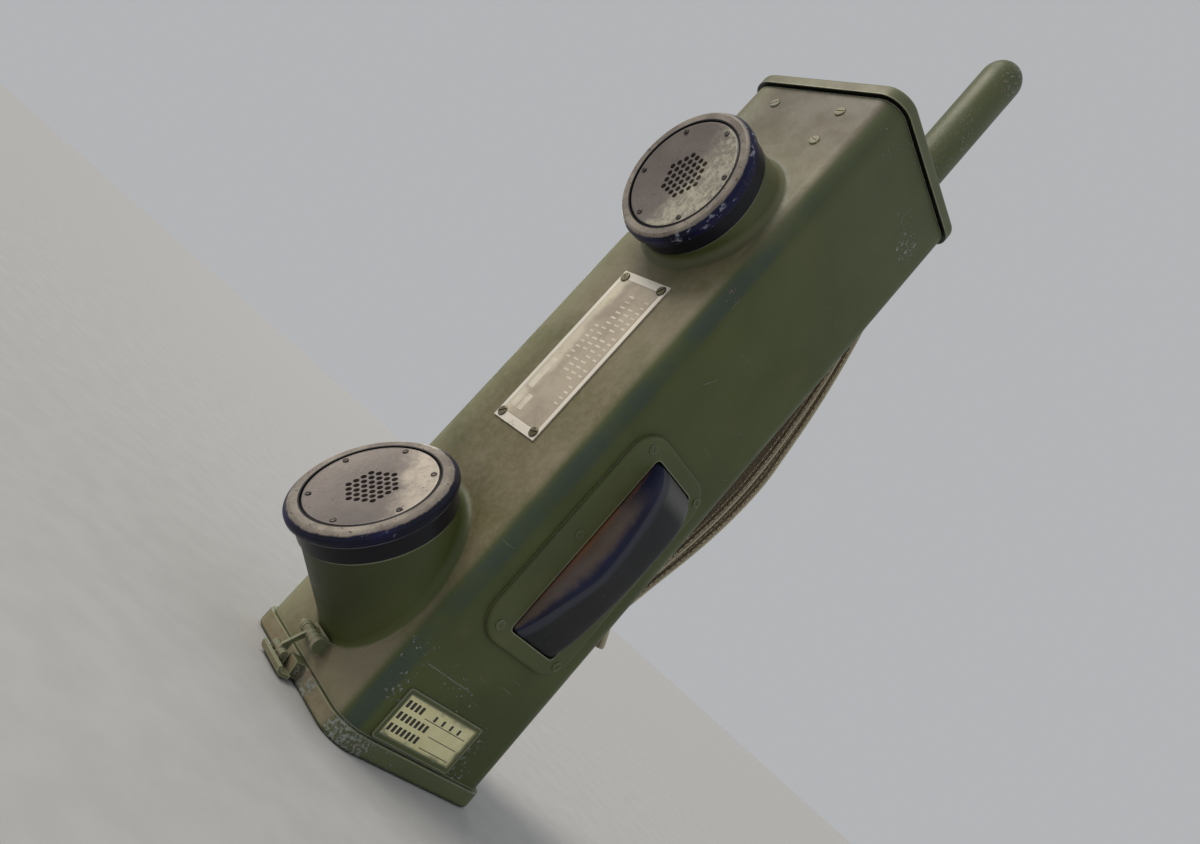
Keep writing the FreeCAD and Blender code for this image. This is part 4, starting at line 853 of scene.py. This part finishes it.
def make_spring():
    """The return spring of the talk lever: a coil of wire."""
    lower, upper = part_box("talk_spring")
    middle, wire, turns, steps, sides = (lower + upper) / 2, 0.0003, 5, 24, 8
    radius = (upper.z - lower.z) / 2 - wire
    length = upper.x - lower.x - 2 * wire
    rings = []
    for k in range(steps * turns + 1):
        angle = math.tau * k / steps
        out = Vector((0, math.cos(angle), math.sin(angle)))
        centre = Vector((lower.x + wire + length * k / (steps * turns), middle.y, middle.z)) + out * radius
        rings.append([centre + (out * math.cos(a) + Vector((1, 0, 0)) * math.sin(a)) * wire
                      for a in (math.tau * i / sides for i in range(sides))])
    coil = new_piece("talk_spring_coil", loft(rings, [[(0, 0)] * sides] * len(rings)),
                     metal("spring_steel", STEEL, STEEL_DARK, 0.36, 0.6), "case")
    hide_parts("talk_spring")
    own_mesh(coil)


# How thin the long edges of a strip are, as a share of its thickness.
EDGE_PINCH = 0.55


def strip(line, half_width, thickness, columns=8):
    """A strip of webbing along (y, z) points: rounded long edges, UVs in metres across and along."""
    count = len(line)
    bm = bmesh.new()
    uv_layer = bm.loops.layers.uv.new("UVMap")
    rings, runs = [], [0.0]
    for a, b in zip(line, line[1:]):
        runs.append(runs[-1] + math.hypot(b[0] - a[0], b[1] - a[1]))
    for i, (y, z) in enumerate(line):
        y0, z0 = line[max(i - 1, 0)]
        y1, z1 = line[min(i + 1, count - 1)]
        length = math.hypot(y1 - y0, z1 - z0)
        ny, nz = (z1 - z0) / length, -(y1 - y0) / length
        ring = []
        for side in (-0.5, 0.5):
            xs = [-half_width + 2 * half_width * k / columns for k in range(columns + 1)]
            for x in (xs if side < 0 else xs[::-1]):
                pinch = EDGE_PINCH if abs(x) > half_width * 0.999 else 1.0
                offset = side * thickness * pinch
                ring.append(((x, y + ny * offset, z + nz * offset), x))
        rings.append([(bm.verts.new(p), x) for p, x in ring])
    for i in range(count - 1):
        a, b = rings[i], rings[i + 1]
        n = len(a)
        for k in range(n):
            m = (k + 1) % n
            new_face = bm.faces.new((a[k][0], a[m][0], b[m][0], b[k][0]))
            values = ((a[k][1], runs[i]), (a[m][1], runs[i]), (b[m][1], runs[i + 1]), (b[k][1], runs[i + 1]))
            for loop, uv in zip(new_face.loops, values):
                loop[uv_layer].uv = uv
    for ring in (rings[0], rings[-1][::-1]):
        bm.faces.new([v for v, _ in ring])
    return bm, runs[-1]


def resample(line, step):
    """Points at an even spacing along a smooth curve through a line of (y, z) points."""
    runs = [0.0]
    for a, b in zip(line, line[1:]):
        runs.append(runs[-1] + math.hypot(b[0] - a[0], b[1] - a[1]))
    ys = [(r, p[0]) for r, p in zip(runs, line)]
    zs = [(r, p[1]) for r, p in zip(runs, line)]
    count = max(2, round(runs[-1] / step))
    stops = [runs[-1] * k / count for k in range(count + 1)]
    return [(smooth_curve(ys, stop), smooth_curve(zs, stop)) for stop in stops]


def stitches(name, line, offset, xs, spacing, material, body):
    """Rows of thread: a short flat capsule for each stitch, lying on the webbing."""
    bm = bmesh.new()
    points = resample(line, spacing)
    for (y0, z0), (y1, z1) in zip(points, points[1:]):
        length = math.hypot(y1 - y0, z1 - z0)
        direction = Vector((0, (y1 - y0) / length, (z1 - z0) / length))
        normal = Vector((0, direction.z, -direction.y))
        for x in xs:
            centre = Vector((x, (y0 + y1) / 2, (z0 + z1) / 2)) + normal * offset
            turn = Matrix((Vector((1, 0, 0)), direction, normal)).transposed()
            shape = Matrix.Diagonal((0.00045, length * 0.42, 0.00036, 1))
            matrix = Matrix.Translation(centre) @ turn.to_4x4() @ shape
            bmesh.ops.create_icosphere(bm, subdivisions=2, radius=1, matrix=matrix)
    return new_piece(name, bm, material, body)


STRAP_WIDTH = 0.0436
STRAP_THICKNESS = 0.0019
STITCH_ROWS = (-0.0200, -0.0176, 0.0176, 0.0200)

# (y, z) points in millimetres: each layer's outer surface as in the CAD, and the folded end's middle.
STRAP_INNER = ((50, 320), (50.8, 313), (61.5, 298), (70, 275), (76, 245), (79.5, 212), (79, 185), (74, 155),
               (66, 125), (57.5, 95), (50.8, 70), (50, 63))
STRAP_OUTER = ((48, 320), (48, 327.4), (50.3, 330.6), (54.7, 330.6), (57, 327.4), (58.5, 318), (67.5, 301),
               (76, 275), (82, 250), (86, 225), (88.3, 205), (86.3, 180), (81, 155), (72.5, 127), (64, 97),
               (58.5, 66), (57, 55.6), (54.7, 52.4), (50.3, 52.4), (48, 55.6), (48, 63))
STRAP_TAIL = ((65.4, 100), (69.0, 95.0), (74.5, 86.5))


def middle_line(points):
    """The middle of a layer in metres, from the outer surface in millimetres of its 2 mm thick CAD node."""
    inward = 1.0
    line = []
    for i, (y, z) in enumerate(points):
        y0, z0 = points[max(i - 1, 0)]
        y1, z1 = points[min(i + 1, len(points) - 1)]
        length = math.hypot(y1 - y0, z1 - z0)
        line.append(((y + (z1 - z0) / length * inward) * MM, (z - (y1 - y0) / length * inward) * MM))
    return line


def make_strap():
    """The hand strap: two layers with sewn rows on both faces, and the outer layer's folded end."""
    brown = webbing_material("webbing_outer", (0.54, 0.45, 0.31), (0.36, 0.285, 0.185))
    worn = webbing_material("webbing_inner", (0.50, 0.385, 0.275), (0.33, 0.24, 0.165))
    thread = plain("strap_thread", (0.62, 0.52, 0.36), (0.46, 0.37, 0.24), 0.8, 400)
    for node, points, material, unsewn in (("strap_outer", STRAP_OUTER, brown, 8),
                                           ("strap_inner", STRAP_INNER, worn, 2)):
        name = node + "_webbing"
        line = resample(middle_line(points), 0.006)
        bm, length = strip(line, STRAP_WIDTH / 2, STRAP_THICKNESS)
        piece = new_piece(name, bm, material, "case")
        subdivide(piece, 1)
        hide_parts(node)
        sewn = line[unsewn:-unsewn]
        rows = [stitches(name + side, sewn, offset, STITCH_ROWS, 0.0036, thread, "case")
                for side, offset in (("_stitches", -0.00100), ("_stitches_inside", 0.00100))]
    tail = [(y * MM, z * MM) for y, z in STRAP_TAIL]
    bm, _ = strip(resample(tail, 0.003), STRAP_WIDTH / 2, 2 * STRAP_THICKNESS)
    piece = new_piece("strap_tail_webbing", bm, brown, "case")
    subdivide(piece, 1)
    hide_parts("strap_tail")


def bars(name, places, height, material, body, plane):
    """Thin raised bars on a flat face: places are (u, v, half length u, half length v) in metres."""
    bm = bmesh.new()
    for u, v, du, dv in places:
        radius = min(du, dv) * 0.35
        outline = []
        for cu, cv, start in ((du - radius, dv - radius, 0), (-du + radius, dv - radius, 90),
                              (-du + radius, -dv + radius, 180), (du - radius, -dv + radius, 270)):
            for k in range(4):
                a = math.radians(start + 30 * k)
                outline.append((u + cu + radius * math.cos(a), v + cv + radius * math.sin(a)))
        base = [bm.verts.new(plane(*p, 0)) for p in outline]
        top = [bm.verts.new(plane(u + (p[0] - u) * 0.97, v + (p[1] - v) * 0.97, height)) for p in outline]
        n = len(outline)
        for k in range(n):
            bm.faces.new((base[k], base[(k + 1) % n], top[(k + 1) % n], top[k]))
        bm.faces.new(top)
        bm.faces.new(base[::-1])
    return new_piece(name, bm, material, body, smooth=False)


def make_nameplate_marks():
    """Rows of small plain blocks and three blank boxes, in place of any wording."""
    front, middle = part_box("nameplate")[0].y, middle_of("nameplate")

    def on_plate(u, v, out):
        return middle.x + u, front - out, middle.z + v

    pale = plain("mark_metal", (0.72, 0.66, 0.54), (0.56, 0.50, 0.40), 0.35, 160)
    places = []
    block, gap = 0.0031, 0.0030
    for u, height, start, words in ((0.0110, 0.0013, 33, (6, 5, 2, 4)), (0.0060, 0.0017, 27, (5, 8)),
                                    (0.0006, 0.0017, 33, (11, 3)), (-0.0046, 0.0014, 14, (7,))):
        v = start * MM
        for word in words:
            for _ in range(word):
                places.append((u, v, height, 0.0005))
                v -= block
            v -= gap
    places += [(-0.0100, -0.0170, 0.0019, 0.0085), (-0.0100, -0.0325, 0.0019, 0.0042),
               (-0.0056, -0.0325, 0.0019, 0.0042)]
    bars("nameplate_marks", places, 0.00006, pale, "case", on_plate)


def make_card_marks():
    """Three ruled lines, with plain upright blocks in place of the wording before them."""
    face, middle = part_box("card")[1].x, middle_of("card")

    def on_card(u, v, out):
        return face + out, middle.y + u, middle.z + v

    ink = plain("card_ink", (0.030, 0.030, 0.026), (0.060, 0.058, 0.046), 0.55, 500)
    places = []
    line_end = 0.0195
    for v, count, start in ((0.0052, 4, -0.0072), (-0.0002, 7, 0.0012), (-0.0056, 7, 0.0012)):
        for k in range(count):
            places.append((-0.0190 + 0.0027 * k, v + 0.0002, 0.00085, 0.00165))
        places.append(((start + line_end) / 2, v - 0.0018, (line_end - start) / 2, 0.00016))
    for k in range(4):
        places.append((-0.0020 + 0.0052 * k, 0.0052, 0.00070, 0.00125))
    bars("card_marks", places, 0.00004, ink, "case", on_card)


add_camera()
add_stage()
add_sun("key", (-0.44, -0.62, 0.62), 1.9, 34, (1.0, 0.93, 0.82))
add_sun("rim", (-0.85, 0.45, 0.25), 0.3, 20, (1.0, 0.98, 0.80))
paint_nodes()
make_boot()
make_spring()
make_strap()
make_nameplate_marks()
make_card_marks()
